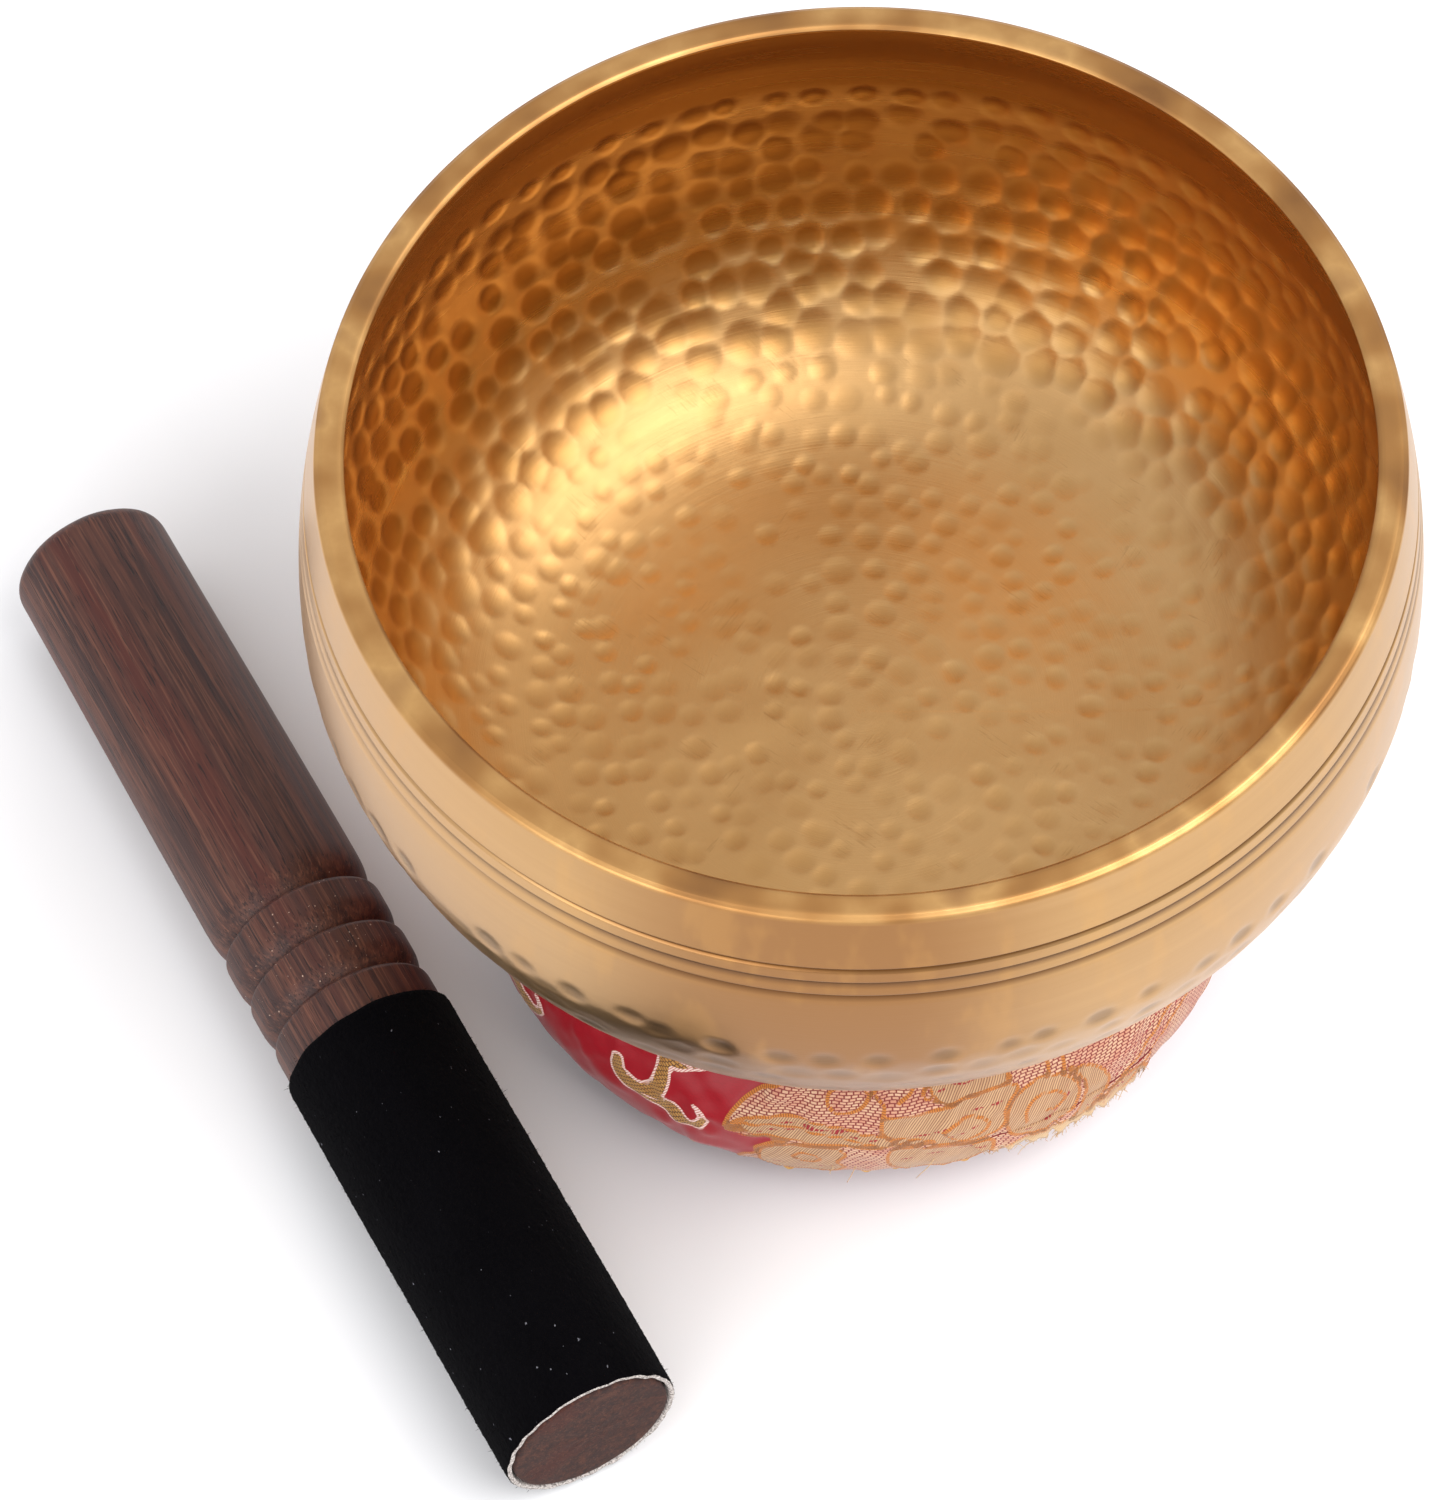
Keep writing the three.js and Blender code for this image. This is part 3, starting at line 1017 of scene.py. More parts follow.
ACCENT_LINES = [
    [(-13, 54), (-9, 52.9), (-4, 52.2), (1, 52.6)],
    [(-13.4, 52.9), (-8, 51.6), (-3, 52.9), (3, 54.4)],
    [(3.8, 54.2), (8.4, 53.9), (13, 51.8), (18.6, 50.4)],
    [(11.2, 54.6), (13.4, 53.8), (15.6, 53)],
    [(4, 59.2), (9, 58.4), (13.4, 57.9), (16, 58)],
    [(20.6, 57.4), (24, 56.6), (26.4, 54.2), (26.6, 52.2)],
    [(18.6, 61.6), (25, 61.4), (31, 60.8), (36, 58.8)],
    [(9.6, 47.6), (13, 46.8), (18, 46.9)],
    [(29.9, 60.6), (37, 56.8), (45, 53.3), (52, 50)],
    [(28.6, 58.8), (35.4, 55), (43, 51.6), (50, 48)],
    [(-11.2, 61), (-7, 61.6), (-3.2, 60.6)],
]
SCROLLS = [
    ([(-32.2, 51.9), (-31.6, 53.9), (-29, 54.6), (-26, 54.7), (-23.4, 55.8), (-21, 56), (-19.7, 54.7)],
     [0.95, 1.4, 1.35, 1.5, 1.25, 1.1, 0.75]),
    ([(-28.4, 54.2), (-26.4, 53), (-25.9, 50.6), (-26.1, 48.6), (-25, 47)], [0.8, 1.35, 1.25, 1.15, 1.0]),
    ([(-25.4, 48), (-23.4, 48.4), (-20.4, 47.2)], [0.9, 0.6, 0.25]),
    ([(-20, 55.4), (-20, 53.6), (-21.5, 52.6)], [0.7, 0.55, 0.22]),
    ([(-25, 47.4), (-27.4, 45.4), (-31, 44.8), (-33.6, 46.4)], [1.0, 1.1, 0.9, 0.4]),
    ([(-47, 52.6), (-45, 51), (-41.5, 49.9), (-38, 49.6)], [0.3, 0.8, 0.9, 0.3]),
]
SCROLL_RIBS = [
    [(-31.6, 52.6), (-29.6, 53.8), (-27.6, 53.4), (-26.9, 51.2), (-27, 48.8)],
    [(-28.2, 55.2), (-25.2, 54.6), (-24.7, 51.6), (-24.8, 49)],
]
SPARE_SCROLL_SHIFT = (-26.0, 1.5)
FIGURE_REPEAT = 2
FIGURE_START = -78
GOLD_HALF_WIDTH, ACCENT_HALF_WIDTH, RIB_HALF_WIDTH = 0.27, 0.17, 0.14


def figure(across, down):
    """Signed distances of the woven figure's parts at each place on the skin."""
    repeat = TAU * CUSHION_RADIUS / FIGURE_REPEAT
    points = np.stack([(across - FIGURE_START) % repeat + FIGURE_START, down], 1)
    near, far = np.full(len(points), 9.0), np.full(len(points), -9.0)
    edge = spline(FIGURE_EDGE + FIGURE_EDGE[:1])
    petal_curves = [spline(loop + loop[:1]) for loop in PETALS]
    ground, petals = inside(points, edge), far
    for curve in petal_curves:
        petals = np.maximum(petals, inside(points, curve))
    gold, run = near, np.zeros(len(points))
    for curve in [edge, *petal_curves, *(spline(line) for line in GOLD_LINES)]:
        away, along, _ = nearest(points, curve)
        closer = away < gold
        gold, run = np.where(closer, away, gold), np.where(closer, along, run)
    accent, scroll, rib = near, far, near
    for line in ACCENT_LINES:
        accent = np.minimum(accent, nearest(points, spline(line))[0])
    for shift in ((0.0, 0.0), SPARE_SCROLL_SHIFT):
        moved = points - np.array(shift)
        for line, widths in SCROLLS:
            scroll = np.maximum(scroll, tapered(moved, spline(line), widths))
        for line in SCROLL_RIBS:
            rib = np.minimum(rib, nearest(moved, spline(line))[0])
    return {
        "ground": ground,
        "petal": np.minimum(petals, ground + 0.3),
        "gold": GOLD_HALF_WIDTH - gold,
        "gold_run": run,
        "accent": ACCENT_HALF_WIDTH - accent,
        "scroll": np.minimum(scroll, -ground - 0.4),
        "scroll_rib": RIB_HALF_WIDTH - rib,
    }


def figure_relief(parts):
    """How far the figure's heavier threads stand above the satin, in millimetres."""

    def rise(value, height, soft=0.22):
        return height * np.clip(value / soft + 0.5, 0, 1)

    return (
        rise(parts["ground"], 0.05)
        + rise(np.minimum(parts["gold"], parts["ground"] + 0.5), 0.15)
        + rise(parts["scroll"], 0.12)
        - rise(parts["accent"], 0.05)
    )


# ---------------------------------------------------------------- cushion: pieces


TUCK_DEPTH = 0.75
INNER_RING_STEP = 3.0
SEAM_GAP = 0.25


def skin_rings(start, end, fine):
    """Arc length, depth and ring count for a panel's outside, its tucked edge and its inside."""
    outside_along = []
    at, way = start, 1 if end > start else -1
    while (end - at) * way > 0.3:
        outside_along.append(at)
        radius = float(outline(np.array([at]))[0][0])
        at += way * (0.55 if radius > 34 else (1.0 if radius > 10 else 1.6))
    rings = [(start, 0.0, 1)] + [(a, 0.0, fine) for a in outside_along[1:]] + [(end, 0.06, fine)]
    rings += [(end + 0.16 * way, 0.3, fine), (end + 0.1 * way, 0.62, fine // 2)]
    inner = [0.5, *np.arange(2.5, abs(end - start) - 1.2, INNER_RING_STEP)]
    return rings + [(end - i * way, TUCK_DEPTH, fine // 4) for i in inner] + [(start, TUCK_DEPTH, 1)]


RAW_EDGE_START, RAW_EDGE_END = 14.0, 39.0
RAW_EDGE_TOP, RAW_EDGE_WIDTH = 56.8, 4.2
RAW_EDGE_FACES = (-0.16, 0.06)
FRAY_START, FRAY_WIDTH = 59.0, 1.2
EDGE_FIBRES = 110
LOOSE_THREADS = ((-3.5, 60.5), (-0.8, 61.0), (9.0, 60.4))
FIBRE_SIDES = 4


def raw_edge(cushion):
    """A lap of the brocade left raw low on the side, with loose fibres.

    Gives its vertices and faces, and each vertex's place round and down the skin.
    """
    columns, rows = 90, 8
    u = np.linspace(RAW_EDGE_START, RAW_EDGE_END, columns)
    wave = wander(u * 0.5, 0 * u, 61, 9)
    taper = np.sin(np.pi * np.linspace(0, 1, columns)) ** 0.35
    f = np.linspace(0, 1, rows)[:, None]
    down = RAW_EDGE_TOP + f * (RAW_EDGE_WIDTH + 0.5 * wave) * taper
    lift = 0.04 + (0.6 + 0.28 * wave) * f**1.5 * taper
    across = np.broadcast_to(u, down.shape)
    theta = (across.ravel() / CUSHION_RADIUS - math.pi / 2) % TAU
    sheets = [cushion.place(down.ravel(), theta, (side - lift).ravel()) for side in RAW_EDGE_FACES]
    n = rows * columns
    faces = []
    for i in range(rows - 1):
        for j in range(columns - 1):
            a, d = i * columns + j, (i + 1) * columns + j
            faces += [(a, d, d + 1, a + 1), (n + a, n + a + 1, n + d + 1, n + d)]
    rim = list(range(columns)) + [i * columns + columns - 1 for i in range(1, rows)]
    rim += [(rows - 1) * columns + j for j in reversed(range(columns - 1))]
    rim += [i * columns for i in reversed(range(1, rows - 1))]
    faces += [(a, b, n + b, n + a) for a, b in zip(rim, rim[1:] + rim[:1])]
    parts = [(np.vstack(sheets), faces)]
    places = [(across.ravel(), down.ravel())] * 2
    for _ in range(EDGE_FIBRES):
        j = rng.integers(3, columns - 3)
        start = u[j] + rng.uniform(-0.1, 0.1)
        path, spots = fibre(cushion, start, down[-1, j] - 0.25, lift[-1, j], rng.uniform(0.4, 1.5))
        parts.append(tube(path, np.linspace(0.055, 0.03, len(path)), FIBRE_SIDES))
        places.append(spots)
    for start, d_start in LOOSE_THREADS:
        path, spots = fibre(cushion, start, d_start, 0.05, rng.uniform(2.2, 3.6))
        parts.append(tube(path, np.linspace(0.07, 0.05, len(path)), FIBRE_SIDES))
        places.append(spots)
    points, faces = gather(parts)
    return points, faces, np.concatenate([a for a, _ in places]), np.concatenate([b for _, b in places])


def fibre(cushion, across, down, lift, length):
    """A thin wavy strand that starts on the skin and hangs away from it."""
    f = np.linspace(0, 1, 6)
    u = across + f * rng.normal(0, 0.45) * length + 0.12 * np.sin(f * rng.uniform(3, 9))
    d = down + f * length * rng.uniform(0.5, 0.95)
    h = lift + f**1.3 * length * rng.uniform(0.15, 0.6)
    theta = (u / CUSHION_RADIUS - math.pi / 2) % TAU
    return cushion.place(d, theta, -h), (np.repeat(u, FIBRE_SIDES), np.repeat(d, FIBRE_SIDES))


def skin_panel(name, cushion, start, end, fine, finish, figured):
    """A fabric panel from a centre of the cushion to its seam, as a thin closed sheet."""
    along, depth, full_counts = (np.array(column) for column in zip(*skin_rings(start, end, fine)))
    radius = outline(along)[0]
    radius[[0, -1]] = 0
    fewer = np.where(radius < 4, 4, np.where(radius < 12, 2, 1))
    counts = np.where(depth == 0, np.maximum(full_counts // fewer, 8), full_counts)
    made = Turning(np.stack([radius, np.zeros(len(radius))], 1), counts.tolist())
    theta = made.theta()
    down, depth = made.ring_values(along), made.ring_values(depth)
    across = ((theta + math.pi / 2 + math.pi) % TAU - math.pi) * CUSHION_RADIUS
    parts = figure(across, down) if figured else {}
    relief = np.where(depth < 0.1, figure_relief(parts), 0) if figured else 0.0
    points = cushion.place(down, theta, depth, relief)
    faces = made.faces()
    if end > start:
        faces = [f[::-1] for f in faces]
    if figured:
        lap_points, lap_faces, lap_across, lap_down = raw_edge(cushion)
        faces += [tuple(i + len(points) for i in f) for f in lap_faces]
        points = np.vstack([points, lap_points])
        across, down = np.concatenate([across, lap_across]), np.concatenate([down, lap_down])
        lap_parts = figure(lap_across, lap_down)
        parts = {key: np.concatenate([parts[key], lap_parts[key]]) for key in parts}
        fray = np.clip((lap_down - FRAY_START) / FRAY_WIDTH, 0, 1)
        parts["fray"] = np.concatenate([np.zeros(len(theta)), fray])
    panel = link(name, points * MM, faces, [finish])
    for key, values in parts.items():
        store(panel, key, values)
    add_weave(panel, across, down)
    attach(panel, "cushion")
    return panel


def add_weave(panel, across, down):
    """A UV map in centimetres round and down the cushion, whole across the join at the back."""
    layer = panel.data.uv_layers.new(name="weave")

    def each(items, what):
        values = np.empty(len(items), int)
        items.foreach_get(what, values)
        return values

    corners = each(panel.data.loops, "vertex_index")
    starts, totals = (each(panel.data.polygons, what) for what in ("loop_start", "loop_total"))
    face_of = np.repeat(np.arange(len(starts)), totals)
    first = across[corners[starts]][face_of]
    turn = TAU * CUSHION_RADIUS
    u = across[corners]
    u = u - turn * np.round((u - first) / turn)
    uv = np.stack([u, down[corners]], 1) / 10
    layer.data.foreach_set("uv", uv.astype(np.float32).ravel())


def make_cushion(brocade_finish, lining_finish, wadding_finish, thread_finish):
    cushion = Cushion()
    top_end, base_end = SEAM_ALONG - SEAM_GAP, SEAM_ALONG + SEAM_GAP
    cover = skin_panel("cushion_brocade_cover", cushion, 0.0, top_end, 640, brocade_finish, True)
    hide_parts("cushion_cover")
    base = skin_panel("cushion_sewn_base", cushion, ARC_END, base_end, 320, lining_finish, False)
    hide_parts("cushion_base_panel")
    make_stuffing(cushion, wadding_finish)
    make_stitches(cushion, thread_finish)


def make_stuffing(cushion, finish):
    along = np.concatenate([[0], np.arange(2.5, ARC_END - 2, 2.5), [ARC_END]])
    radius = outline(along)[0]
    radius[[0, -1]] = 0
    made = Turning(np.stack([radius, np.zeros(len(radius))], 1), [160] * len(along))
    theta = made.theta()
    s = made.ring_values(along)
    lumps = 1.6 + 0.25 * np.clip(wander(theta * 4, s * 3, 31, 14), -1.2, 1.2)
    points = cushion.place(s, theta, lumps)
    points[:, 2] = np.clip(points[:, 2], 1.0, CUSHION_HEIGHT - 1.3)
    stuffing = link("cushion_wadding", points * MM, [f[::-1] for f in made.faces()], [finish])
    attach(stuffing, "cushion")
    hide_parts("cushion_stuffing")


def tube(path, radii, sides):
    """Vertices and faces of a closed round tube along a path, in the path's own units."""
    d = np.gradient(path, axis=0)
    d /= np.linalg.norm(d, axis=1)[:, None]
    reference = np.array([0.0, 0.0, 1.0]) if abs(d[0, 2]) < 0.9 else np.array([1.0, 0.0, 0.0])
    side = np.cross(d, reference)
    side /= np.linalg.norm(side, axis=1)[:, None]
    up = np.cross(side, d)
    turn = TAU * np.arange(sides) / sides
    ring = np.cos(turn)[None, :, None] * side[:, None] + np.sin(turn)[None, :, None] * up[:, None]
    points = (path[:, None] + ring * radii[:, None, None]).reshape(-1, 3)
    faces = []
    for a in range(0, (len(path) - 1) * sides, sides):
        b = a + sides
        for j in range(sides):
            k = (j + 1) % sides
            faces.append((a + j, a + k, b + k, b + j))
    faces += [tuple(range(sides))[::-1], tuple(b + j for j in range(sides))]
    return points, faces


def gather(parts):
    """Many small vertex and face lists as one."""
    points, faces, start = [], [], 0
    for p, f in parts:
        points.append(p)
        faces += [tuple(i + start for i in face) for face in f]
        start += len(p)
    return np.vstack(points), faces


STITCH_PITCH = 3.1
STITCH_LENGTH = 2.3


def make_stitches(cushion, finish):
    """A running row of small stitches that cross the seam on a slant."""
    around = TAU * float(outline(np.array([SEAM_ALONG]))[0][0])
    count = int(around / STITCH_PITCH)
    parts = []
    for k in range(count):
        middle = TAU * (k + rng.uniform(-0.12, 0.12)) / count
        f = np.linspace(-0.5, 0.5, 9)
        theta = middle + f * STITCH_LENGTH / around * TAU * rng.uniform(0.85, 1.1)
        along = SEAM_ALONG + f * rng.uniform(1.0, 1.6)
        depth = 0.28 - 0.50 * np.cos(np.pi * f)
        path = cushion.place(along, theta, depth)
        parts.append(tube(path, 0.24 - 0.05 * (2 * f) ** 2, 7))
    points, faces = gather(parts)
    stitches = link("cushion_seam_stitches", points * MM, faces, [finish])
    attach(stitches, "cushion")
    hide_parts("cushion_seam_thread")


# ---------------------------------------------------------------- mallet


def mallet_frame():
    """The mallet's own frame, its axis +Z from the free end, laid on the ground."""
    slope = math.atan2(SLEEVE_RADIUS - HANDLE_END_RADIUS, SLEEVE_START - 2.2)
    heading = math.radians(MALLET_HEADING)
    direction = Vector(
        (math.cos(heading) * math.cos(slope), math.sin(heading) * math.cos(slope), math.sin(slope))
    )
    middle = MALLET_LENGTH / 2
    height = SLEEVE_RADIUS / math.cos(slope) + (middle - SLEEVE_START) * math.tan(slope)
    start = Vector((MALLET_X, MALLET_Y, height)) - direction * middle
    sideways = direction.cross(Vector((0, 0, 1))).normalized()
    upward = sideways.cross(direction)
    frame_axes = Matrix((sideways, upward, direction)).transposed().to_4x4()
    return Matrix.Translation(start * MM) @ frame_axes


def handle_radius(z):
    """The turned handle's radius at a distance from its free end."""
    radius = np.interp(z, [0, 55], [HANDLE_END_RADIUS, HANDLE_RADIUS])
    first, second, third = MALLET_GROOVES
    shoulder = np.clip((z - (first - 6.0)) / 6.0, 0, 1)
    radius = radius - np.where(z < first, GROOVE_DEEP * shoulder**3.2, 0)
    for low, high in ((first, second), (second, third), (third, SLEEVE_START + 2.2)):
        t = np.clip((z - low) / (high - low), 0, 1)
        rise = 1 - np.clip(1 - t / 0.17, 0, 1) ** 2.4
        fall = np.clip((t - 0.5) / 0.5, 0, 1)
        bead = 1.3 * rise - 1.18 * fall**2.2 * (1 if high < SLEEVE_START else 0.12)
        within = (z >= low) & (z < high)
        radius = np.where(within, HANDLE_RADIUS - GROOVE_DEEP + bead, radius)
    rounding = np.clip(1 - z / END_ROUNDING, 0, 1)
    radius = radius - END_ROUNDING * (1 - np.sqrt(np.clip(1 - rounding**2, 0, 1)))
    return np.where(z > SLEEVE_START + 1.5, CORE_RADIUS - CORE_CLEARANCE, radius)


def make_handle(finish, laid):
    body = np.concatenate([
        np.linspace(0.02, 2.4, 14), np.arange(2.9, 54, 0.75), np.arange(54, SLEEVE_START + 1.4, 0.16),
        np.array([SLEEVE_START + 1.8, SLEEVE_START + 3]), np.arange(SLEEVE_START + 8, MALLET_LENGTH - 2, 5),
    ])
    end = MALLET_LENGTH + 0.1
    core = CORE_RADIUS - CORE_CLEARANCE
    profile = [[r, 0] for r in (0, 3, 5.5, 7.3)] + np.stack([handle_radius(body), body], 1).tolist()
    profile += [[core, end - 0.5], [core - 0.12, end - 0.1], [core - 0.45, end]]
    profile += [[r, end + 0.04 * math.sin(r * 2.1)] for r in (8.4, 6.6, 4.8, 3, 1.5)] + [[0, end]]
    profile = np.array(profile)
    made = Turning(profile, [192] * len(profile))
    theta = made.theta()
    z = made.ring_values(profile[:, 1])
    wobble = wander(theta, z * 0.6, 41, 8) * 0.02
    flute = wander(theta * 23, z * 0.02, 43, 12) * 0.006
    points = made.vertices(wobble + flute)
    handle = link("mallet_turned_handle", points * MM, made.faces(), [finish])
    handle.matrix_world = laid
    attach(handle, "mallet")
    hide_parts("mallet_handle")


SLEEVE_THICKNESS = 0.72
SLEEVE_SEAM = 205.0
EDGE_SLANT, EDGE_SLANT_TURN = 0.62, 60.0
FUZZ_COUNT = 5200
FUZZ_HALF_WIDTH = 0.028


def make_sleeve(finish, cut_finish, laid):
    """Suede wrapped round the core, with its seam underneath and a soft, fibrous surface."""
    outer, inner = SLEEVE_RADIUS, SLEEVE_RADIUS - SLEEVE_THICKNESS
    length = MALLET_LENGTH - SLEEVE_START
    steps = np.arange(0.5, length - 0.4, 0.42)
    profile = [[inner, 0.0], [inner + 0.2, -0.02], [outer - 0.22, 0.02], [outer - 0.07, 0.14]]
    profile += [[outer, s] for s in steps]
    profile += [[outer - 0.04, length - 0.18]]
    first_cut = len(profile)
    profile += [[outer - 0.16, length - 0.03], [outer - 0.36, length + 0.02], [inner + 0.14, length]]
    profile += [[inner, length - 0.05]]
    last_cut = len(profile)
    profile += [[inner, s] for s in np.arange(length - 5, 1, -6)] + [[inner, 0.0]]
    profile = np.array(profile)
    made = Turning(profile, [208] * len(profile))
    theta = made.theta()
    z = made.ring_values(profile[:, 1])
    r = made.ring_values(profile[:, 0])
    skin = r > inner + 0.3
    nap = rng.normal(0, 0.035, len(theta)) + wander(theta, z * 1.5, 51, 14) * 0.05
    seam = math.radians(SLEEVE_SEAM)
    away = np.abs((theta - seam + math.pi) % TAU - math.pi) * outer
    dip = -0.42 * np.exp(-((away / 0.45) ** 2))
    points = made.vertices(np.where(skin, nap + dip, 0))
    start = SLEEVE_START + EDGE_SLANT * np.cos(theta - math.radians(EDGE_SLANT_TURN))
    start = start + wander(theta * 2, 0 * theta, 53, 9) * 0.10
    finish_edge = length + wander(theta * 3, 0 * theta, 55, 9) * 0.07
    points[:, 2] = start + z / length * (finish_edge + SLEEVE_START - start)
    sleeve = link("mallet_suede_wrap", points * MM, made.faces(), [finish, cut_finish])
    ring_of = made.ring_values(np.arange(len(profile)))
    for polygon in sleeve.data.polygons:
        rings = [ring_of[v] for v in polygon.vertices]
        if min(rings) >= first_cut and max(rings) <= last_cut:
            polygon.material_index = 1
    add_fuzz(sleeve, outer, length)
    sleeve.matrix_world = laid
    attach(sleeve, "mallet")
    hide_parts("mallet_suede_sleeve")


def add_fuzz(sleeve, outer, length):
    """Short loose fibres standing off the suede."""
    mesh = bmesh.new()
    mesh.from_mesh(sleeve.data)
    up = np.array([0, 0, 1])
    for _ in range(FUZZ_COUNT):
        theta, z = rng.uniform(0, TAU), rng.uniform(0.1, length + 0.1)
        long_one = rng.random() < 0.05
        reach = rng.uniform(0.45, 0.9) if long_one else rng.uniform(0.12, 0.42)
        out = np.array([math.cos(theta), math.sin(theta), 0])
        side = np.array([-math.sin(theta), math.cos(theta), 0])
        root = out * outer + up * (SLEEVE_START + z)
        lean = out * rng.uniform(0.25, 0.8) + side * rng.normal(0, 0.7) + up * rng.normal(0, 0.7)
        tip = root + lean / np.linalg.norm(lean) * reach
        bend = (root + tip) / 2 + side * rng.normal(0, 0.08) + out * 0.04
        wide = (up if abs(lean[2]) < 0.5 else side) * FUZZ_HALF_WIDTH
        buried = root - out * 0.15
        spots = (buried - wide, buried + wide, bend - wide * 0.7, bend + wide * 0.7, tip)
        a, b, c, d, e = (mesh.verts.new(tuple(p * MM)) for p in spots)
        mesh.faces.new((a, b, d, c))
        mesh.faces.new((c, d, e))
    mesh.to_mesh(sleeve.data)
    mesh.free()


# ---------------------------------------------------------------- cloth, wood and leather finishes


def floats(across, down, row_pitch, dash, slip):
    """Rows of short surface threads, each row's dashes slipped along from the last row's.

    The result is a mask of the threads, and a random number for each thread.
    """
    row, in_row = down.rows(row_pitch)
    number, in_dash = (across + row * slip).rows(dash)
    return in_row.band(0.36, 0.14) * in_dash.band(0.40, 0.07), across.graph.chance(row, number)


def brocade():
    g = Graph("brocade")
    uv = g.weave()
    u, v = (part * 10.0 for part in g.split(uv)[:2])
    edge = 0.05

    def mask(name, shrink=0.0):
        return g.number(name).step(shrink - edge, shrink + edge)

    wide_noise = g.noise(uv, (2.2, 2.2, 1))
    fine_noise = g.noise(uv, (14, 90, 1), 2.0, 0.6)
    warp = u.rows(0.16)[1].band(0.3, 0.2)
    satin = g.layers(
        g.mix(fine_noise, srgb(122, 0, 14), srgb(166, 3, 26)), (warp * 0.16, srgb(196, 18, 42))
    )

    dash, dash_shade = floats(u, v, 0.40, 0.92, 0.30)
    pale = g.mix(wide_noise.step(0.40, 0.60), srgb(198, 134, 108), srgb(208, 162, 130))
    pale = g.mix(dash_shade * 0.45, pale, srgb(230, 196, 164))
    ground = g.mix(dash, srgb(122, 28, 26), pale)

    line, in_line = (u * 0.86 + v * 0.5).rows(0.32)
    petal = g.layers(
        g.mix(g.chance(line) * 0.6, srgb(198, 158, 118), srgb(172, 128, 92)),
        ((1.0 - in_line.band(0.34, 0.1)) * 0.8, srgb(98, 52, 34)),
    )

    rib = g.number("gold_run").rows(0.33)[1].band(0.32, 0.14)
    gold = g.layers(
        g.mix(rib, srgb(126, 58, 16), srgb(194, 112, 38)), (fine_noise * 0.35, srgb(214, 148, 66))
    )

    thick, thick_shade = floats(u + v * 0.6, v - u * 0.35, 0.36, 0.74, 0.22)
    scroll = g.mix(thick_shade * 0.7, srgb(176, 122, 52), srgb(204, 154, 80))
    scroll = g.mix(thick, srgb(84, 48, 24), scroll)
    bead = (u + v).rows(0.40)[1].band(0.34, 0.12)
    piping = g.mix(bead, srgb(190, 96, 92), srgb(240, 212, 202))
    raw = g.mix(fine_noise, srgb(190, 150, 104), srgb(226, 198, 152))

    on_ground, on_petal, on_scroll = mask("ground"), mask("petal"), mask("scroll")
    on_accent = mask("accent") * (u + v * 0.25).rows(0.62)[1].band(0.36, 0.06)
    on_gold = mask("gold") * g.number("ground").step(-0.45, -0.35)
    on_piping = on_scroll * (1.0 - mask("scroll", 0.34)).either(mask("scroll_rib"))
    figured = on_ground.either(on_gold).either(on_scroll)
    tone = g.layers(
        satin,
        (on_ground, ground),
        (on_petal * on_ground, petal),
        (on_accent * on_ground, srgb(146, 24, 30)),
        (on_gold, gold),
        (on_scroll, scroll),
        (on_piping, piping),
        (g.number("fray") * 0.8, raw),
    )
    height = dash * on_ground * (1.0 - on_petal)
    height += on_petal * on_ground * in_line.band(0.3, 0.2) * 0.6
    height += on_gold * rib * 0.9 + on_scroll * thick + (1.0 - figured) * warp * 0.16
    return g.surface(
        Base_Color=tone,
        Roughness=figured * 0.16 + 0.46,
        Normal=g.bump(height, 0.00006, 0.8),
        Sheen_Weight=0.18,
        Sheen_Roughness=0.4,
        Specular_IOR_Level=0.42,
    )


def lining():
    g = Graph("lining")
    u, v = g.split(g.weave())[:2]
    column, in_column = u.rows(0.045)
    row, in_row = v.rows(0.045)
    over = (column + row).rows(2)[1].step(0.2, 0.3)
    height = in_column.band(0.38, 0.12) * over + in_row.band(0.38, 0.12) * (1.0 - over)
    slub = g.noise(g.vector(u, v), (6, 1.4, 1), 3.0)
    # painted shade: the low places between the threads are mixed darker
    tone = g.layers(
        g.mix(slub, srgb(112, 8, 26), srgb(148, 22, 40)), ((1.0 - height) * 0.6, srgb(62, 4, 14))
    )
    return g.surface(Base_Color=tone, Roughness=0.82, Normal=g.bump(height, 0.00009, 0.8), Sheen_Weight=0.15)


def wadding():
    g = Graph("wadding")
    place = g.place()
    tufts = g.noise(place, 260, 6.0, 0.65, 0.6)
    strands = g.noise(place, (1500, 420, 900), 4.0, 0.6, 0.8, turn=(0.4, 0.2, 0.7))
    tone = g.layers(
        g.mix(tufts, srgb(206, 196, 176), srgb(240, 234, 220)), (strands * 0.4, srgb(190, 176, 150))
    )
    height = tufts * 0.9 + strands * 0.5
    return g.surface(Base_Color=tone, Roughness=0.95, Normal=g.bump(height, 0.0006, 0.8), Sheen_Weight=0.3)


def sewing_thread():
    g = Graph("sewing_thread")
    ply = g.noise(g.place(), (5200, 5200, 9000), turn=(0.6, 0.5, 0.2))
    tone = g.mix(ply, srgb(168, 112, 44), srgb(232, 186, 104))
    return g.surface(Base_Color=tone, Roughness=0.55, Normal=g.bump(ply, 0.00008, 0.8), Sheen_Weight=0.2)


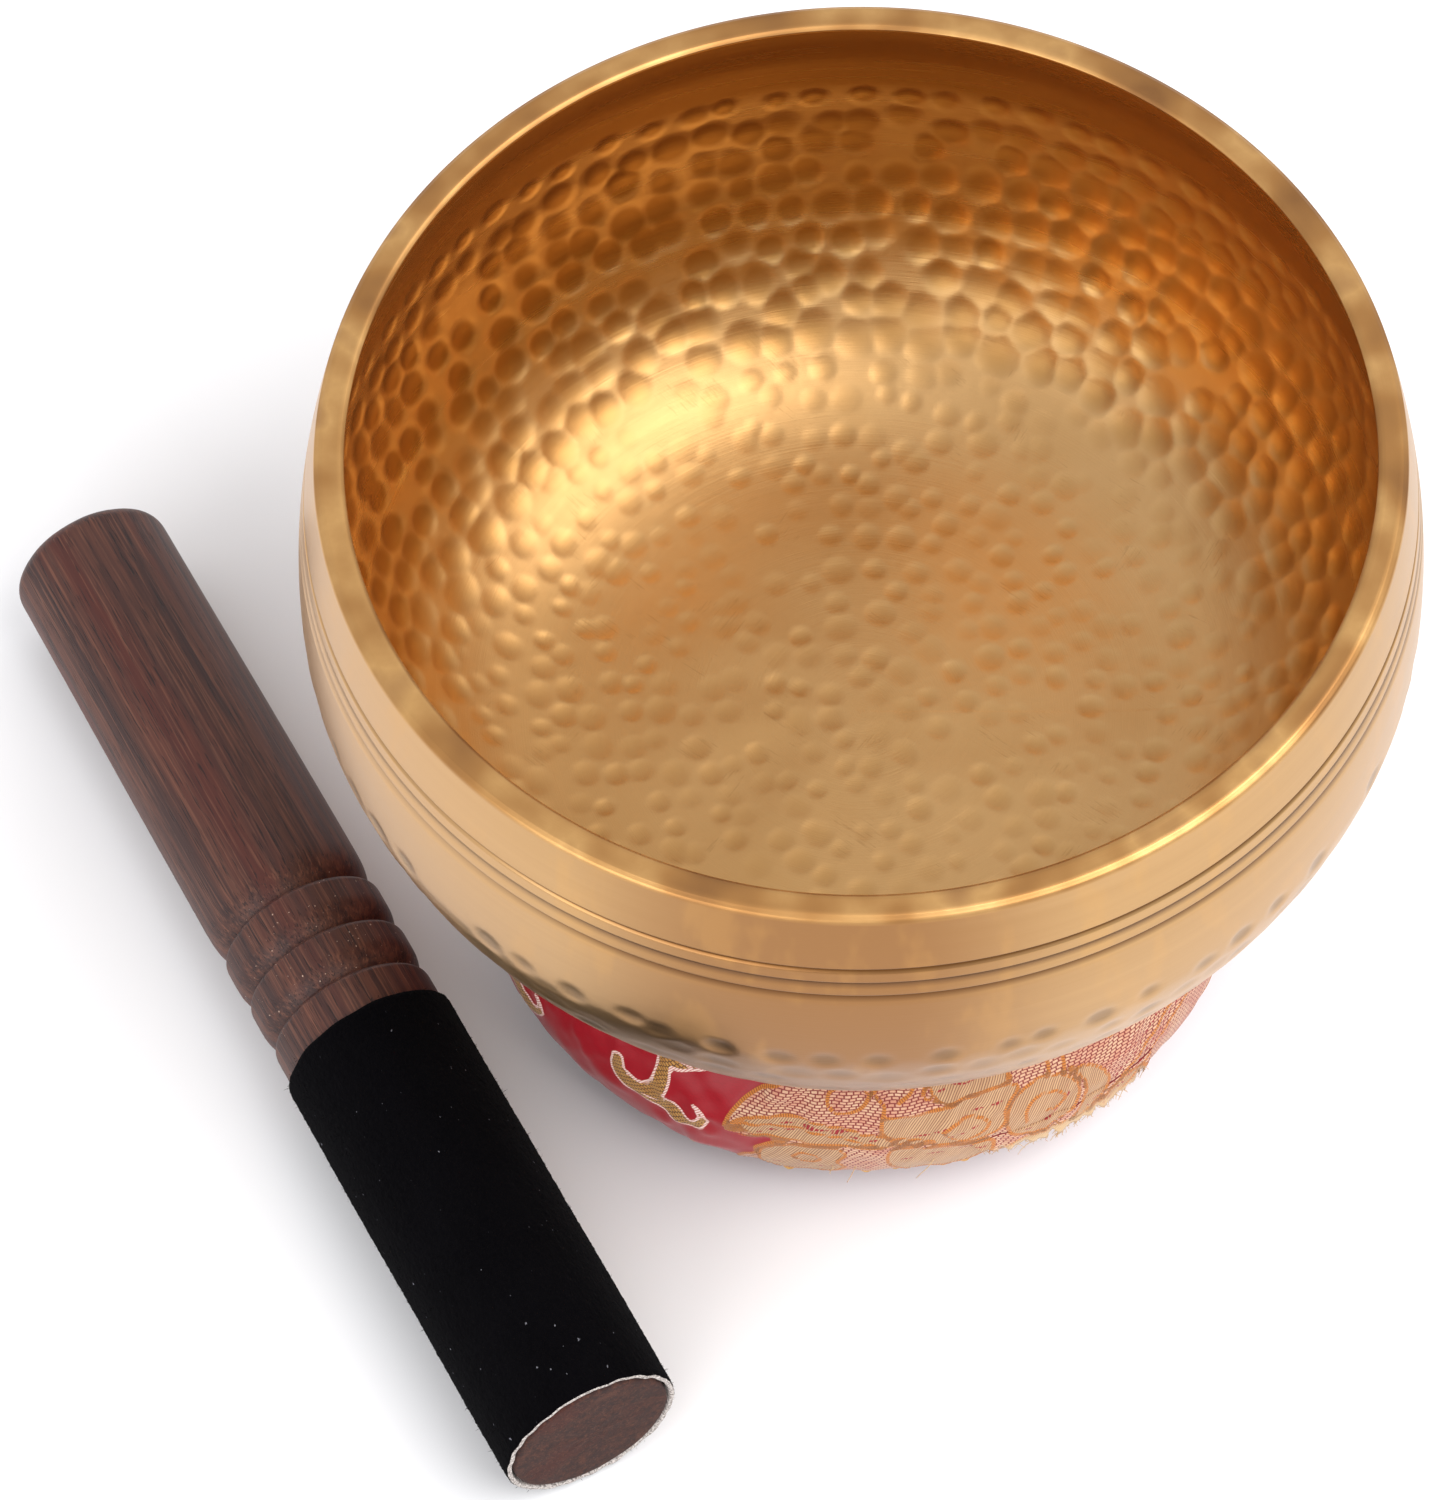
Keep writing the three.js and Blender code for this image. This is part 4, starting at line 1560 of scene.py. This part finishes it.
def rosewood():
    g = Graph("rosewood")
    place = g.place()
    _, _, z = g.split(place)
    growth = g.noise(place, (230, 230, 7), 4.0, 0.55, 0.5)
    streak = g.noise(place, (900, 900, 16), 4.0, 0.62, 0.3)
    line = g.noise(place, (3000, 3000, 60), 3.0, 0.6)
    pores = 1.0 - g.noise(place, (5200, 5200, 210)).step(0.34, 0.42)
    red = g.noise(place, (120, 120, 9), 3.0, 0.6, shift=(3, 1, 2))
    crumbs = g.noise(place, 2600, 1.0).step(0.74, 0.78)
    on_beads = z.step(0.0605, 0.0615) * (1.0 - z.step(0.0772, 0.0780))
    end_grain = z.step(0.1395, 0.1399)
    tone = g.ramp(
        growth,
        (0.28, srgb(38, 21, 20)),
        (0.44, srgb(66, 38, 32)),
        (0.56, srgb(50, 29, 27)),
        (0.72, srgb(96, 57, 43)),
    )
    tone = g.layers(
        tone,
        (streak.step(0.42, 0.66) * 0.55, srgb(104, 62, 47)),
        (red.step(0.52, 0.68) * 0.65, srgb(84, 34, 24)),
        (line.step(0.50, 0.70) * 0.50, srgb(124, 80, 61)),
        (pores * 0.75, srgb(26, 15, 15)),
        (on_beads * crumbs * 0.7, srgb(206, 176, 156)),
        (end_grain * 0.5, srgb(36, 20, 16)),
    )
    return g.surface(
        Base_Color=tone,
        Roughness=streak * 0.16 + 0.40 + end_grain * 0.35,
        Normal=g.bump(line * 0.35 - pores * 0.8, 0.00005, 0.7),
        Specular_IOR_Level=0.34,
    )


def suede():
    g = Graph("suede")
    place = g.place()
    nap = g.noise(place, (2400, 2400, 1700), 3.0, 0.65)
    drift = g.noise(place, (170, 170, 90), 3.0, 0.6)
    speck = g.noise(place, (1500, 1500, 900)).step(0.74, 0.79)
    tone = g.layers(
        g.mix(nap, srgb(0, 0, 1), srgb(9, 8, 10)),
        (drift * 0.5, srgb(14, 13, 16)),
        (speck * 0.75, srgb(128, 128, 136)),
    )
    return g.surface(
        Base_Color=tone,
        Roughness=1.0,
        Specular_IOR_Level=0.0,
        Normal=g.bump(nap, 0.00022, 0.9),
        Sheen_Weight=0.018,
        Sheen_Roughness=0.55,
    )


def suede_cut_edge():
    g = Graph("suede_cut_edge")
    fibres = g.noise(g.place(), (3200, 3200, 2200), 3.0, 0.7)
    tone = g.mix(fibres.step(0.36, 0.62), srgb(112, 104, 100), srgb(206, 198, 192))
    return g.surface(Base_Color=tone, Roughness=0.95, Normal=g.bump(fibres, 0.0002, 0.8))


# ---------------------------------------------------------------- build

add_camera()
add_studio()
add_floor(floor_finish())
make_bowl(bronze())
make_cushion(brocade(), lining(), wadding(), sewing_thread())
resting = mallet_frame()
make_handle(rosewood(), resting)
make_sleeve(suede(), suede_cut_edge(), resting)
